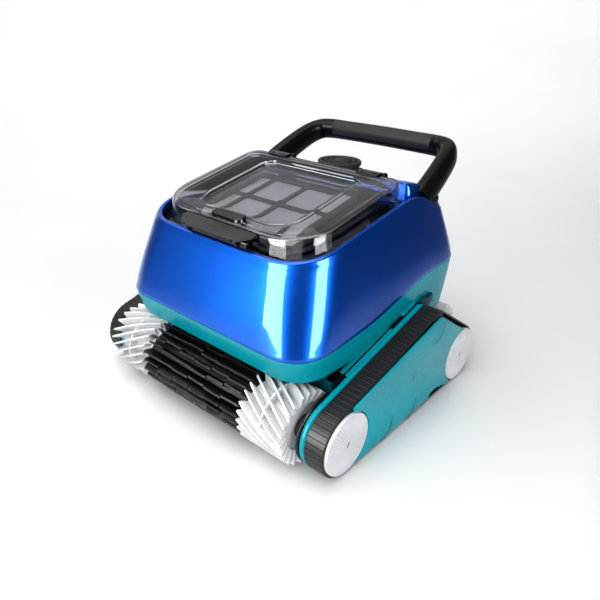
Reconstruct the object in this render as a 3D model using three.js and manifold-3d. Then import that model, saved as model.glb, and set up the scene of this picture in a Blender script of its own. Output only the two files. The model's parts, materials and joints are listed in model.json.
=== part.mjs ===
// Tracked robotic pool cleaner: two driven tracks, a brush roller at each end, a moulded chassis and
// cowl around a filter basket, a sealed motor housing, a pump outlet, a hinged lid and a carry handle.
// Millimetres, +X to the cleaner's right, +Y to its rear, +Z up. Inside the group y = 0 is half-way
// between the wheel axles; the group is then moved so that the origin is the centre of the footprint.

import * as THREE from 'three';
import { mergeVertices } from 'three/addons/utils/BufferGeometryUtils.js';
import Module from 'manifold-3d';

const wasm = await Module();
wasm.setup();

// ---------------------------------------------------------------- driving dimensions
const GAP = 0.3;                 // between pieces that touch

const WHEEL_Y = 140;             // half the wheelbase
const TRACK_R = 44.3;            // outside of the belt round a wheel
const WHEEL_Z = TRACK_R;
const BELT_THICK = 2.5;
const BELT_X = [183.5, 210.7];   // the belt's two edges
const CAP_X = 215;               // outer face of a hub cap, half the overall width
const WHEEL_R = 41.2;
const CAP_R = 40.6;
const APEX = { y: 61, z: 126, r: 17.5 };   // belt round the drive roller
const ROLLER_R = 14.3;
const PLATE_X = [172, 183];      // inner side plate
const COVER_X = [211, 214];      // outer side cover

const GEAR_MODULE = 1.5;
const WHEEL_TEETH = 16;
const BRUSH_TEETH = 12;
const MESH_SLACK = 0.15;
const BRUSH_ANGLE = THREE.MathUtils.degToRad(28);     // brush axle above the wheel axle's level
const BRUSH_OFFSET = GEAR_MODULE * (WHEEL_TEETH + BRUSH_TEETH) / 2 + MESH_SLACK;
const BRUSH_Y = WHEEL_Y + BRUSH_OFFSET * Math.cos(BRUSH_ANGLE);
const BRUSH_Z = WHEEL_Z + BRUSH_OFFSET * Math.sin(BRUSH_ANGLE);
const BRUSH_R = 48;
const BRUSH_CORE_R = 15;
const BRUSH_HALF = 166;          // half the length of the roller
const BLADE_HALF = 94;           // half the length of the middle blades
const BRUSH_BLADES = 12;

const HULL = { halfWidth: 172.5, front: -177, rear: 188, frontRadius: 50, rearRadius: 42, sideBow: 2 };
const RIM = { halfWidth: 152, front: -150, rear: 162, frontRadius: 60, rearRadius: 38, sideBow: 0 };
const WALL = 3;                  // wall of the mouldings
const LIP = 7.5;                 // width of the cowl's rim

const LID_SLOPE = 0.22;          // rise of the lid per unit to the rear
const LID_Z = 294.1;             // lid's top plane at y = 0
const LID_TILT = Math.atan(LID_SLOPE);
const LID = { halfWidth: 136.5, front: -134.4, rear: 59, frontRadius: 61, rearRadius: 20 };
const WINDOW = { halfWidth: 84, front: -109, rear: 38, frontRadius: 34, rearRadius: 17 };
const SKIRT = 27;
const LEDGE = 29;                // tray ledge below the lid's plane
const HINGE = { y: 64, z: 305.5, r: 3.4, pin: 1.8, x: 81, half: 17 };
const LATCH = { y: -155, z: 256.4, r: 2.8, pin: 1.2, half: 40 };

const BASKET = { halfWidth: 95.5, front: -112.5, rear: 30.5, frontRadius: 30, rearRadius: 12 };
const SUMP = { ...BASKET, front: -96 };      // lower part of the basket, between the brushes
const SUMP_Z = [62, 116, 126];               // basket floor, and the height over which it widens

const OUTLET = { y: 99, r: 30, cap: 32, top: 306.5 };
const DRIVE_SHAFT_R = 4;
const FLOOR_Z = 18;              // underside of the chassis
const SLOT = { x: [22, 118], y: [-76, -52] };
const FLAP = { axisY: -46.5, axisZ: 24, thick: 2 };

// Centre line of the handle's right half, from its foot to the middle of the bar, and the half height
// and half width of its oval section at each of those points.
const HANDLE = {
  path: [[139, 96, 273], [138.5, 118, 285], [134, 156, 304], [128, 184, 317], [117, 201, 324], [98, 207, 326],
    [60, 208, 326.5], [0, 208, 327]],
  tall: [19, 18, 16.5, 15.5, 14.5, 14, 13.5, 13.5],
  wide: [12.5, 12.5, 12.5, 12.5, 12.5, 12, 12, 12],
};

const COLOURS = {
  blue: [0x0b3fc4, 0.25, 0.6],
  teal: [0x12949b, 0.35, 0.0],
  black: [0x17181a, 0.4, 0.0],
  rubber: [0x1b1c1e, 0.75, 0.0],
  grey: [0xc9ccd0, 0.5, 0.0],
  white: [0xe9eaec, 0.5, 0.0],
  smoke: [0x3b3e44, 0.1, 0.0],
  screen: [0x7e8088, 0.8, 0.0],
  steel: [0xb5b8bc, 0.3, 1.0],
  board: [0x1c6b3a, 0.6, 0.0],
};

// ---------------------------------------------------------------- scene helpers
const cleaner = new THREE.Group();

function add(name, colour, geometry) {
  const [hex, roughness, metalness] = COLOURS[colour];
  const material = new THREE.MeshStandardMaterial({ color: hex, roughness, metalness });
  const mesh = new THREE.Mesh(geometry, material);
  mesh.name = name;
  cleaner.add(mesh);
  return mesh;
}

// ---------------------------------------------------------------- solid helpers
function volume(geometry) {
  const p = geometry.attributes.position;
  const index = geometry.index;
  const [a, b, c] = [new THREE.Vector3(), new THREE.Vector3(), new THREE.Vector3()];
  let sum = 0;
  for (let i = 0; i < index.count; i += 3) {
    a.fromBufferAttribute(p, index.getX(i));
    b.fromBufferAttribute(p, index.getX(i + 1));
    c.fromBufferAttribute(p, index.getX(i + 2));
    sum += a.dot(b.cross(c)) / 6;
  }
  return sum;
}

// One welded skin whose faces point out.
function weld(geometry) {
  const bare = geometry.clone();
  bare.deleteAttribute('normal');
  bare.deleteAttribute('uv');
  const welded = mergeVertices(bare, 1e-3);
  const faces = [];
  const index = welded.index;
  for (let i = 0; i < index.count; i += 3) {
    const [a, b, c] = [index.getX(i), index.getX(i + 1), index.getX(i + 2)];
    if (a !== b && b !== c && c !== a) faces.push(a, b, c);
  }
  welded.setIndex(faces);
  if (volume(welded) < 0) {
    for (let i = 0; i < faces.length; i += 3) {
      [faces[i + 1], faces[i + 2]] = [faces[i + 2], faces[i + 1]];
    }
    welded.setIndex(faces);
  }
  return welded;
}

function toSolid(geometry) {
  const skin = weld(geometry);
  const vertProperties = new Float32Array(skin.attributes.position.array);
  const triVerts = new Uint32Array(skin.index.array);
  return new wasm.Manifold(new wasm.Mesh({ numProp: 3, vertProperties, triVerts }));
}

function toGeometry(solid) {
  const mesh = solid.getMesh();
  const geometry = new THREE.BufferGeometry();
  geometry.setAttribute('position', new THREE.BufferAttribute(mesh.vertProperties, 3));
  geometry.setIndex(new THREE.BufferAttribute(mesh.triVerts, 1));
  return geometry;
}

const join = (first, ...rest) => toGeometry(rest.reduce((s, g) => s.add(toSolid(g)), toSolid(first)));
const cut = (first, ...rest) => toGeometry(rest.reduce((s, g) => s.subtract(toSolid(g)), toSolid(first)));
const common = (a, b) => toGeometry(toSolid(a).intersect(toSolid(b)));

// The biggest body left after a cut, without loose slivers.
function biggest(geometry) {
  const bodies = toSolid(geometry).decompose();
  return toGeometry(bodies.reduce((best, body) => (body.volume() > best.volume() ? body : best)));
}

function box([x0, x1], [y0, y1], [z0, z1]) {
  const geometry = new THREE.BoxGeometry(x1 - x0, y1 - y0, z1 - z0);
  return weld(geometry.translate((x0 + x1) / 2, (y0 + y1) / 2, (z0 + z1) / 2));
}

// Outline without the points that lie on a straight line between their neighbours.
function toPath(list) {
  const corners = list.filter(([a, b], i) => {
    const [pa, pb] = list[(i + list.length - 1) % list.length];
    const [na, nb] = list[(i + 1) % list.length];
    return Math.abs((a - pa) * (nb - b) - (b - pb) * (na - a)) > 1e-4;
  });
  return corners.map(([a, b]) => new THREE.Vector2(a, b));
}

// Extruded along X from an outline given as [y, z] points.
function prismX(points, [x0, x1], holes = []) {
  const shape = new THREE.Shape(toPath(points));
  holes.forEach((hole) => shape.holes.push(new THREE.Path(toPath(hole))));
  const geometry = new THREE.ExtrudeGeometry(shape, { depth: x1 - x0, bevelEnabled: false });
  const axes = new THREE.Matrix4().makeBasis(
    new THREE.Vector3(0, 1, 0), new THREE.Vector3(0, 0, 1), new THREE.Vector3(1, 0, 0));
  return weld(geometry.applyMatrix4(axes).translate(x0, 0, 0));
}

// Extruded along Z from an outline given as [x, y] points.
function prismZ(points, [z0, z1]) {
  const shape = new THREE.Shape(toPath(points));
  const geometry = new THREE.ExtrudeGeometry(shape, { depth: z1 - z0, bevelEnabled: false });
  return weld(geometry.translate(0, 0, z0));
}

function circle(cy, cz, radius, steps = 24) {
  return Array.from({ length: steps }, (_, i) => {
    const angle = (i / steps) * 2 * Math.PI;
    return [cy + radius * Math.cos(angle), cz + radius * Math.sin(angle)];
  });
}

const rodX = (radius, range, y, z, steps = 12) => prismX(circle(y, z, radius, steps), range);
const rodZ = (radius, range, x, y, steps = 24) => prismZ(circle(x, y, radius, steps), range);

// Turned about an axis along X through (y, z); the profile holds [radius, x] points.
function turnedX(profile, y, z, steps = 24) {
  const geometry = new THREE.LatheGeometry(profile.map(([r, x]) => new THREE.Vector2(r, x)), steps);
  return weld(geometry.rotateZ(-Math.PI / 2).translate(0, y, z));
}

// Turned about an axis along Z through (x, y); the profile holds [radius, z] points.
function turnedZ(profile, x, y, steps = 24) {
  const geometry = new THREE.LatheGeometry(profile.map(([r, z]) => new THREE.Vector2(r, z)), steps);
  return weld(geometry.rotateX(Math.PI / 2).translate(x, y, 0));
}

const closed = (profile) => [...profile, profile[0]];
const mirrored = ([x0, x1], side) => (side > 0 ? [x0, x1] : [-x1, -x0]);
const flipProfile = (profile, side) => profile.map(([r, x]) => [r, side * x]);

// A rounded plan outline with the same count of points for every size, anticlockwise from above.
const CORNER_STEPS = 5;
const SIDE_STEPS = 5;
const END_STEPS = 2;

function planOutline({ halfWidth, front, rear, frontRadius, rearRadius, sideBow = 0 }) {
  const points = [];
  const mid = (front + rear) / 2;
  const reach = (rear - front) / 2;
  const cornerX = halfWidth - sideBow;
  const corner = (sign, cy, radius, start) => {
    for (let i = 0; i <= CORNER_STEPS; i++) {
      const angle = start + (i / CORNER_STEPS) * (Math.PI / 2);
      points.push([sign * (cornerX - radius) + radius * Math.cos(angle), cy + radius * Math.sin(angle)]);
    }
  };
  const side = (sign, from, to) => {
    for (let i = 1; i < SIDE_STEPS; i++) {
      const y = from + ((to - from) * i) / SIDE_STEPS;
      points.push([sign * (halfWidth - sideBow * ((y - mid) / reach) ** 2), y]);
    }
  };
  const end = (y, from, to) => {
    for (let i = 1; i < END_STEPS; i++) points.push([from + ((to - from) * i) / END_STEPS, y]);
  };
  side(1, front + frontRadius, rear - rearRadius);
  corner(1, rear - rearRadius, rearRadius, 0);
  end(rear, cornerX - rearRadius, rearRadius - cornerX);
  corner(-1, rear - rearRadius, rearRadius, Math.PI / 2);
  side(-1, rear - rearRadius, front + frontRadius);
  corner(-1, front + frontRadius, frontRadius, Math.PI);
  end(front, frontRadius - cornerX, cornerX - frontRadius);
  corner(1, front + frontRadius, frontRadius, 1.5 * Math.PI);
  return points;
}

// The same plan shrunk by a distance on all sides.
const inset = (plan, d) => ({
  halfWidth: plan.halfWidth - d,
  front: plan.front + d,
  rear: plan.rear - d,
  frontRadius: Math.max(plan.frontRadius - d, 2),
  rearRadius: Math.max(plan.rearRadius - d, 2),
  sideBow: plan.sideBow ?? 0,
});

const between = (a, b, t) => Object.fromEntries(
  Object.keys(a).map((key) => [key, a[key] + ((b[key] ?? 0) - a[key]) * t]));

const ring = (plan, height) => planOutline(plan).map(([x, y]) => [x, y, height(y)]);

// Skin over a stack of rings; the stack either closes on itself or is capped at both ends.
function loft(rings, loops = false) {
  const count = rings[0].length;
  const points = rings.flat();
  const faces = [];
  const last = loops ? rings.length : rings.length - 1;
  for (let k = 0; k < last; k++) {
    const lower = k * count;
    const upper = ((k + 1) % rings.length) * count;
    for (let i = 0; i < count; i++) {
      const j = (i + 1) % count;
      faces.push(lower + i, lower + j, upper + j, lower + i, upper + j, upper + i);
    }
  }
  const cap = (start, flip) => {
    const centre = [0, 1, 2].map((axis) => {
      const sum = points.slice(start, start + count).reduce((total, p) => total + p[axis], 0);
      return sum / count;
    });
    points.push(centre);
    const hub = points.length - 1;
    for (let i = 0; i < count; i++) {
      const j = (i + 1) % count;
      faces.push(hub, start + (flip ? j : i), start + (flip ? i : j));
    }
  };
  if (!loops) {
    const end = (rings.length - 1) * count;
    cap(0, true);
    cap(end, false);
  }
  const geometry = new THREE.BufferGeometry();
  geometry.setAttribute('position', new THREE.Float32BufferAttribute(points.flat(), 3));
  geometry.setIndex(faces);
  return weld(geometry);
}

// Smooth height along y through a few knots.
function heightAlong(knots) {
  const curve = new THREE.SplineCurve(knots.map(([y, z]) => new THREE.Vector2(y, z)));
  const samples = curve.getPoints(60);
  return (y) => {
    const clamped = Math.min(Math.max(y, samples[0].x), samples[60].x);
    const k = Math.max(1, samples.findIndex((p) => p.x >= clamped));
    const [a, b] = [samples[k - 1], samples[k]];
    return a.y + ((b.y - a.y) * (clamped - a.x)) / (b.x - a.x);
  };
}

const seamHeight = heightAlong([[-180, 138], [-110, 144], [-40, 151], [25, 166], [75, 178], [120, 181], [190, 182]]);
const rimHeight = heightAlong([[-152, 243], [-110, 253], [-70, 262], [10, 278], [58, 285.5], [90, 282], [130, 268], [164, 252]]);
const lidPlane = (drop) => (y) => LID_Z + LID_SLOPE * y - drop;
const level = (z) => () => z;

// Moves a piece drawn flat at z = 0 onto the lid's sloping plane.
const onLidPlane = (geometry) => geometry.rotateX(LID_TILT).translate(0, 0, LID_Z);
const alongSlope = (y) => y / Math.cos(LID_TILT);

// Outline that wraps three circles in the side view, given anticlockwise as { y, z, r }.
function wrap(circles, steps = 12) {
  const normal = (a, b) => {
    const reach = Math.hypot(b.y - a.y, b.z - a.z);
    return Math.atan2(b.z - a.z, b.y - a.y) - Math.acos((a.r - b.r) / reach);
  };
  return circles.flatMap((c, i) => {
    const before = circles[(i + circles.length - 1) % circles.length];
    const after = circles[(i + 1) % circles.length];
    const start = normal(before, c);
    let end = normal(c, after);
    while (end < start) end += 2 * Math.PI;
    return Array.from({ length: steps + 1 }, (_, k) => {
      const angle = start + ((end - start) * k) / steps;
      return [c.y + c.r * Math.cos(angle), c.z + c.r * Math.sin(angle)];
    });
  });
}

const beltCircles = (shrink) => [
  { y: WHEEL_Y, z: WHEEL_Z, r: TRACK_R - shrink },
  { y: APEX.y, z: APEX.z, r: APEX.r - shrink },
  { y: -WHEEL_Y, z: WHEEL_Z, r: TRACK_R - shrink },
];

// Spur gear outline with straight-sided teeth, one tooth centred on the given angle.
function gearOutline(teeth, cy, cz, phase) {
  const pitch = (GEAR_MODULE * teeth) / 2;
  const stations = [
    [pitch - 1.25 * GEAR_MODULE, -0.34],
    [pitch + 0.85 * GEAR_MODULE, -0.1],
    [pitch + 0.85 * GEAR_MODULE, 0.1],
    [pitch - 1.25 * GEAR_MODULE, 0.34],
  ];
  return Array.from({ length: teeth }, (_, i) => i).flatMap((i) => stations.map(([radius, part]) => {
    const angle = phase + ((i + part) / teeth) * 2 * Math.PI;
    return [cy + radius * Math.cos(angle), cz + radius * Math.sin(angle)];
  }));
}

// ---------------------------------------------------------------- chassis and shells
const TUB_LIP = { halfWidth: 165, front: -168, rear: 178, frontRadius: 46, rearRadius: 36, sideBow: 1 };
const TUB_BOX = { halfWidth: 158, front: -103, rear: 103, frontRadius: 14, rearRadius: 14, sideBow: 0 };
const STEP_Z = 106;              // underside of the chassis above the brushes
const seamPlan = inset(HULL, 0.6);

function flapEars(side) {
  const ear = (x) => cut(
    box(mirrored([x, x + 4], side), [FLAP.axisY - 3.5, FLAP.axisY + 3.5], [FLOOR_Z + 1, FLAP.axisZ + 3.5]),
    rodX(1.9, mirrored([x - 1, x + 5], side), FLAP.axisY, FLAP.axisZ, 12));
  return [ear(SLOT.x[0] - 12), ear(SLOT.x[1] + 8)];
}

function chassisTub() {
  const shell = loft([
    ring(inset(TUB_BOX, 8), level(FLOOR_Z)),
    ring(inset(TUB_BOX, 4), level(FLOOR_Z + 2)),
    ring(TUB_BOX, level(FLOOR_Z + 8)),
    ring(TUB_BOX, level(STEP_Z)),
    ring(inset(TUB_LIP, 3), level(STEP_Z)),
    ring(TUB_LIP, level(STEP_Z + 4)),
    ring(seamPlan, (y) => seamHeight(y) - GAP),
    ring(inset(seamPlan, WALL), (y) => seamHeight(y) - GAP),
    ring(inset(TUB_LIP, WALL), level(STEP_Z + 5)),
    ring(inset(TUB_LIP, 6), level(STEP_Z + WALL)),
    ring(inset(TUB_BOX, WALL), level(STEP_Z + WALL)),
    ring(inset(TUB_BOX, WALL), level(FLOOR_Z + 10)),
    ring(inset(TUB_BOX, 8), level(FLOOR_Z + WALL)),
  ]);
  const slots = [1, -1].map((side) => box(mirrored(SLOT.x, side), SLOT.y, [FLOOR_Z - 5, FLOOR_Z + 10]));
  const shaftHoles = [1, -1].map((side) => rodX(DRIVE_SHAFT_R + 2, mirrored([150, 182], side), APEX.y, APEX.z));
  return join(cut(shell, ...slots, ...shaftHoles), ...flapEars(1), ...flapEars(-1));
}
add('chassis_tub', 'teal', chassisTub());

const GLAND = { y: 176, z: 216, r: 8 };

function cowl() {
  const bulge = { ...between(HULL, RIM, 0.36), sideBow: 1.5 };
  const out = (plan, d) => inset(plan, -d);
  const belly = (share) => (y) => seamHeight(y) + (rimHeight(y) - seamHeight(y)) * share;
  const shell = loft([
    ring(inset(HULL, 0.8), (y) => seamHeight(y)),
    ring(HULL, (y) => seamHeight(y) + 3),
    ring(out(bulge, 2.6), belly(0.38)),
    ring(out(between(HULL, RIM, 0.72), 1.6), belly(0.74)),
    ring(RIM, (y) => rimHeight(y) - 2),
    ring(inset(RIM, 2), rimHeight),
    ring(inset(RIM, LIP - 1.5), rimHeight),
    ring(inset(RIM, LIP), (y) => rimHeight(y) - 2),
    ring(inset(RIM, LIP), (y) => rimHeight(y) - 14),
    ring(inset(RIM, WALL + 1), (y) => rimHeight(y) - 16),
    ring(inset(between(HULL, RIM, 0.72), WALL - 1), belly(0.72)),
    ring(inset(bulge, WALL - 1.6), belly(0.38)),
    ring(inset(HULL, WALL), (y) => seamHeight(y)),
  ], true);
  const glandHole = prismZ(circle(0, GLAND.z, GLAND.r + GAP, 16), [-GLAND.y - 25, -GLAND.y + 25])
    .rotateX(Math.PI / 2);
  return cut(shell, glandHole);
}
add('cowl', 'blue', cowl());

const DECK = { halfWidth: 137, front: 62, rear: 149, frontRadius: 3, rearRadius: 32, sideBow: 0 };
const deckHeight = heightAlong([[62, 302.6], [80, 300], [100, 294], [122, 281], [150, 266]]);

function deckForm(grow) {
  const foot = { ...inset(DECK, -5 - grow), front: DECK.front };
  return loft([
    ring(foot, (y) => Math.min(rimHeight(y) - 3, 277)),
    ring(foot, (y) => Math.min(rimHeight(y) + 1, 284) + grow),
    ring({ ...inset(DECK, -grow), front: DECK.front }, (y) => deckHeight(y) - 3 + grow),
    ring({ ...inset(DECK, 3), front: DECK.front + 2 }, (y) => deckHeight(y) + grow),
    ring({ ...inset(DECK, 60), front: DECK.front + 14, rear: DECK.rear - 20 }, (y) => deckHeight(y) + grow),
  ]);
}

function rearDeck() {
  const inner = loft([
    ring({ ...inset(DECK, -5 + WALL), front: DECK.front + WALL }, level(230)),
    ring({ ...inset(DECK, -5 + WALL), front: DECK.front + WALL }, (y) => Math.min(rimHeight(y) - 4, 280)),
    ring({ ...inset(DECK, WALL), front: DECK.front + WALL }, (y) => deckHeight(y) - WALL - 3),
    ring({ ...inset(DECK, 60), front: DECK.front + 14, rear: DECK.rear - 20 }, (y) => deckHeight(y) - WALL),
  ]);
  const ductHole = rodZ(OUTLET.r + GAP, [200, 330], 0, OUTLET.y, 24);
  const capSeat = rodZ(OUTLET.cap + 2 * GAP, [OUTLET.top - 7.5, 330], 0, OUTLET.y, 24);
  const knuckleRoom = [1, -1].map((side) => box(
    mirrored([HINGE.x - HINGE.half - 1, HINGE.x + HINGE.half + 1], side), [50, HINGE.y + 5.5], [300.3, 320]));
  const ears = [1, -1].flatMap((side) => [HINGE.x - HINGE.half - 5, HINGE.x + HINGE.half + 1].map((x) => cut(
    join(
      box(mirrored([x, x + 4], side), [HINGE.y - 2, HINGE.y + 6], [295, HINGE.z]),
      rodX(HINGE.r, mirrored([x, x + 4], side), HINGE.y + 1.4, HINGE.z, 10)),
    rodX(HINGE.pin + GAP, mirrored([x - 1, x + 5], side), HINGE.y, HINGE.z, 8))));
  return join(cut(deckForm(0), inner, ductHole, capSeat, ...knuckleRoom), ...ears);
}
add('rear_deck', 'blue', rearDeck());

add('cable_gland', 'black',
  turnedZ(closed([[4, 0], [GLAND.r, 0], [GLAND.r, 14], [5.6, 26], [4, 26]]), 0, 0, 16)
    .rotateX(-Math.PI / 2).translate(0, GLAND.y - 6, GLAND.z));

// ---------------------------------------------------------------- filter bay, basket and screen
const TRAY = { ...inset(RIM, LIP + 0.5), rear: 60.5, rearRadius: 4 };
const WELL = inset(BASKET, -1.5);

function filterBay() {
  const wellWall = 2.5;
  const depth = 150;
  return loft([
    ring(WELL, lidPlane(LEDGE)),
    ring(TRAY, lidPlane(LEDGE)),
    ring(TRAY, lidPlane(LEDGE + WALL)),
    ring(inset(WELL, -wellWall), lidPlane(LEDGE + WALL)),
    ring(inset(WELL, -wellWall), level(depth)),
    ring(WELL, level(depth)),
  ], true);
}
add('filter_bay', 'black', filterBay());

function filterBasket() {
  const wall = 2.5;
  const [floor, neck, shoulder] = SUMP_Z;
  const shell = loft([
    ring(SUMP, level(floor)),
    ring(SUMP, level(neck)),
    ring(BASKET, level(shoulder)),
    ring(BASKET, lidPlane(LEDGE - GAP)),
    ring(inset(BASKET, -12), lidPlane(LEDGE - GAP)),
    ring(inset(BASKET, -12), lidPlane(LEDGE - 3)),
    ring(inset(BASKET, wall), lidPlane(LEDGE - 3)),
    ring(inset(BASKET, wall), level(shoulder + 1)),
    ring(inset(SUMP, wall), level(neck + 1)),
    ring(inset(SUMP, wall), level(floor + wall)),
  ]);
  const inlets = [1, -1].map((side) => box(mirrored([16, 78], side), [-88, -42], [40, 80]));
  return cut(shell, ...inlets);
}
add('filter_basket', 'black', filterBasket());

const GRID = inset(BASKET, 0.4);
const GRID_RIB = 5.5;

// Flat panel between two drops below the lid's plane.
const slopedPanel = (plan, upper, lower) => loft([ring(plan, lidPlane(lower)), ring(plan, lidPlane(upper))]);

function filterGrid() {
  const columns = [-1, 0, 1].map((k) => k * 61);
  const rows = [-32];
  const edge = 11;
  const half = GRID_RIB / 2;
  const xs = [edge - GRID.halfWidth, ...columns.flatMap((x) => [x - half, x + half]), GRID.halfWidth - edge];
  const ys = [GRID.front + edge, ...rows.flatMap((y) => [y - half, y + half]), GRID.rear - 5];
  const holes = [];
  for (let i = 0; i < xs.length; i += 2) {
    for (let j = 0; j < ys.length; j += 2) holes.push(box([xs[i], xs[i + 1]], [ys[j], ys[j + 1]], [220, 300]));
  }
  return cut(slopedPanel(GRID, 22.6, 25.6), ...holes);
}
add('filter_grid', 'black', filterGrid());
add('filter_screen', 'screen', slopedPanel(inset(BASKET, 3), 26, 28.2));

add('grid_screw', 'black', onLidPlane(turnedZ(
  closed([[2, -21.8], [6, -21.8], [6, -20], [4, -19.2], [2, -19.2]]), 0, -32, 12)));

// ---------------------------------------------------------------- motors, pump and outlet
const HOUSING_X = 138;
const HOUSING = [[36, 40], [96.5, 40], [96.5, 114.5], [150, 114.5], [150, 196], [36, 196]];
const CAVITY = [[39, 43], [93.5, 43], [93.5, 117.5], [147, 117.5], [147, 200], [39, 200]];

add('motor_housing', 'black', cut(
  prismX(HOUSING, [-HOUSING_X, HOUSING_X]),
  prismX(CAVITY, [-HOUSING_X + WALL, HOUSING_X - WALL]),
  rodX(DRIVE_SHAFT_R + 1, [-HOUSING_X - 5, HOUSING_X + 5], APEX.y, APEX.z, 16)));

const SHAFT_Z = 3;
add('motor_housing_lid', 'black', cut(
  box([-HOUSING_X, HOUSING_X], [36, 150], [196 + GAP, 199]),
  rodZ(SHAFT_Z + 1, [190, 205], 0, OUTLET.y, 16)));

add('pump_motor', 'steel', cut(
  rodZ(24, [118.5, 190], 0, OUTLET.y, 20),
  rodZ(SHAFT_Z + 0.5, [172, 195], 0, OUTLET.y, 12)));

for (const [side, word] of [[1, 'right'], [-1, 'left']]) {
  add(`drive_motor_${word}`, 'steel', cut(
    rodX(15, mirrored([66, HOUSING_X - WALL - 1], side), APEX.y, APEX.z, 20),
    rodX(DRIVE_SHAFT_R + 0.5, mirrored([116, HOUSING_X], side), APEX.y, APEX.z, 12)));
}
add('control_board', 'board', box([-90, 90], [42, 90], [52, 54]));

function impeller() {
  const z0 = 206;
  const hub = turnedZ([[0, 176], [SHAFT_Z, 176], [SHAFT_Z, z0], [9, z0], [7, z0 + 16], [0, z0 + 18]], 0, 0, 12);
  const blades = [0, 1, 2].map((k) => box([5, 24.5], [-1.5, 1.5], [z0 + 1, z0 + 13])
    .rotateX(THREE.MathUtils.degToRad(28)).translate(0, (z0 + 7) * Math.sin(THREE.MathUtils.degToRad(28)), 0)
    .translate(0, 0, (z0 + 7) * (1 - Math.cos(THREE.MathUtils.degToRad(28))))
    .rotateZ((k * 2 * Math.PI) / 3));
  return join(hub, ...blades).translate(0, OUTLET.y, 0);
}
add('impeller', 'white', impeller());

const DUCT_TOP = OUTLET.top - 7;
add('outlet_duct', 'black', turnedZ(
  closed([[OUTLET.r - WALL, 199.5], [OUTLET.r, 199.5], [OUTLET.r, DUCT_TOP], [OUTLET.r - WALL, DUCT_TOP]]),
  0, OUTLET.y, 24));

function outletGrille() {
  const z = DUCT_TOP + GAP;
  const cap = turnedZ([[0, z + 2], [OUTLET.r - WALL, z + 2], [OUTLET.r - WALL, z], [OUTLET.cap, z],
    [OUTLET.cap, OUTLET.top - 1.5], [OUTLET.cap - 2, OUTLET.top], [0, OUTLET.top]], 0, OUTLET.y, 24);
  const slots = [0, 1, 2, 3, 4, 5].map((k) => box([9, 24], [-4, 4], [z - 1, OUTLET.top + 1])
    .rotateZ((k * Math.PI) / 3).translate(0, OUTLET.y, 0));
  return cut(cap, ...slots);
}
add('outlet_grille', 'black', outletGrille());

// ---------------------------------------------------------------- tracks
const brushCentre = (end) => [end * BRUSH_Y, BRUSH_Z];
const gearPhase = (end) => (end < 0 ? Math.PI - BRUSH_ANGLE : BRUSH_ANGLE);

function sidePlate(side) {
  const web = [PLATE_X[0], PLATE_X[0] + WALL];
  const body = prismX(wrap(beltCircles(1.3)), mirrored(PLATE_X, side));
  const pocket = prismX(wrap(beltCircles(7)), mirrored([web[1], PLATE_X[1] + 1], side));
  const bosses = [[-70, 62], [0, 88], [70, 62]].map(([y, z]) => rodX(
    8, mirrored([TUB_BOX.halfWidth + GAP, web[1]], side), y, z, 10));
  const through = mirrored([150, PLATE_X[1] + 1], side);
  const holes = [
    rodX(5 + GAP, through, -WHEEL_Y, WHEEL_Z),
    rodX(5 + GAP, through, WHEEL_Y, WHEEL_Z),
    rodX(DRIVE_SHAFT_R + 1, through, APEX.y, APEX.z),
    rodX(5 + 0.5, through, ...brushCentre(-1)),
    rodX(5 + 0.5, through, ...brushCentre(1)),
  ];
  return cut(join(cut(body, pocket), ...bosses), ...holes);
}

function sideCover(side) {
  const outline = wrap([
    { y: WHEEL_Y, z: WHEEL_Z, r: 36.5 },
    { y: APEX.y, z: APEX.z + 3.4, r: 5.5 },
    { y: -WHEEL_Y, z: WHEEL_Z, r: TRACK_R - 1.1 },
  ]);
  const range = mirrored([COVER_X[0] - 1, COVER_X[1] + 1], side);
  return cut(
    prismX(outline, mirrored(COVER_X, side)),
    rodX(CAP_R + 1.4, range, -WHEEL_Y, WHEEL_Z, 40),
    rodX(CAP_R + 1.4, range, WHEEL_Y, WHEEL_Z, 40),
    prismX([[46, -5], [58, 13], [96, 12], [108, -5]], range));
}

const WHEEL_PROFILE = [
  [5.4, 177], [10.2, 177], [10.2, 193], [37.6, 193], [37.6, 187], [WHEEL_R, 187],
  [WHEEL_R, 210], [37.6, 210], [37.6, 197], [10.2, 197], [10.2, 208], [5.4, 208],
];
const CAP_PROFILE = [[0, 210.3], [CAP_R, 210.3], [CAP_R, 213], [37.5, CAP_X - 0.6], [12, CAP_X], [0, CAP_X - 0.5]];

function wheel(side, end) {
  const y = end * WHEEL_Y;
  const rim = turnedX(closed(flipProfile(WHEEL_PROFILE, side)), y, WHEEL_Z, 18);
  if (side === end) return rim;
  const gear = prismX(gearOutline(WHEEL_TEETH, y, WHEEL_Z, gearPhase(end)), mirrored([178, 189], side),
    [circle(y, WHEEL_Z, 8, 12).reverse()]);
  return join(rim, gear);
}

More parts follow.
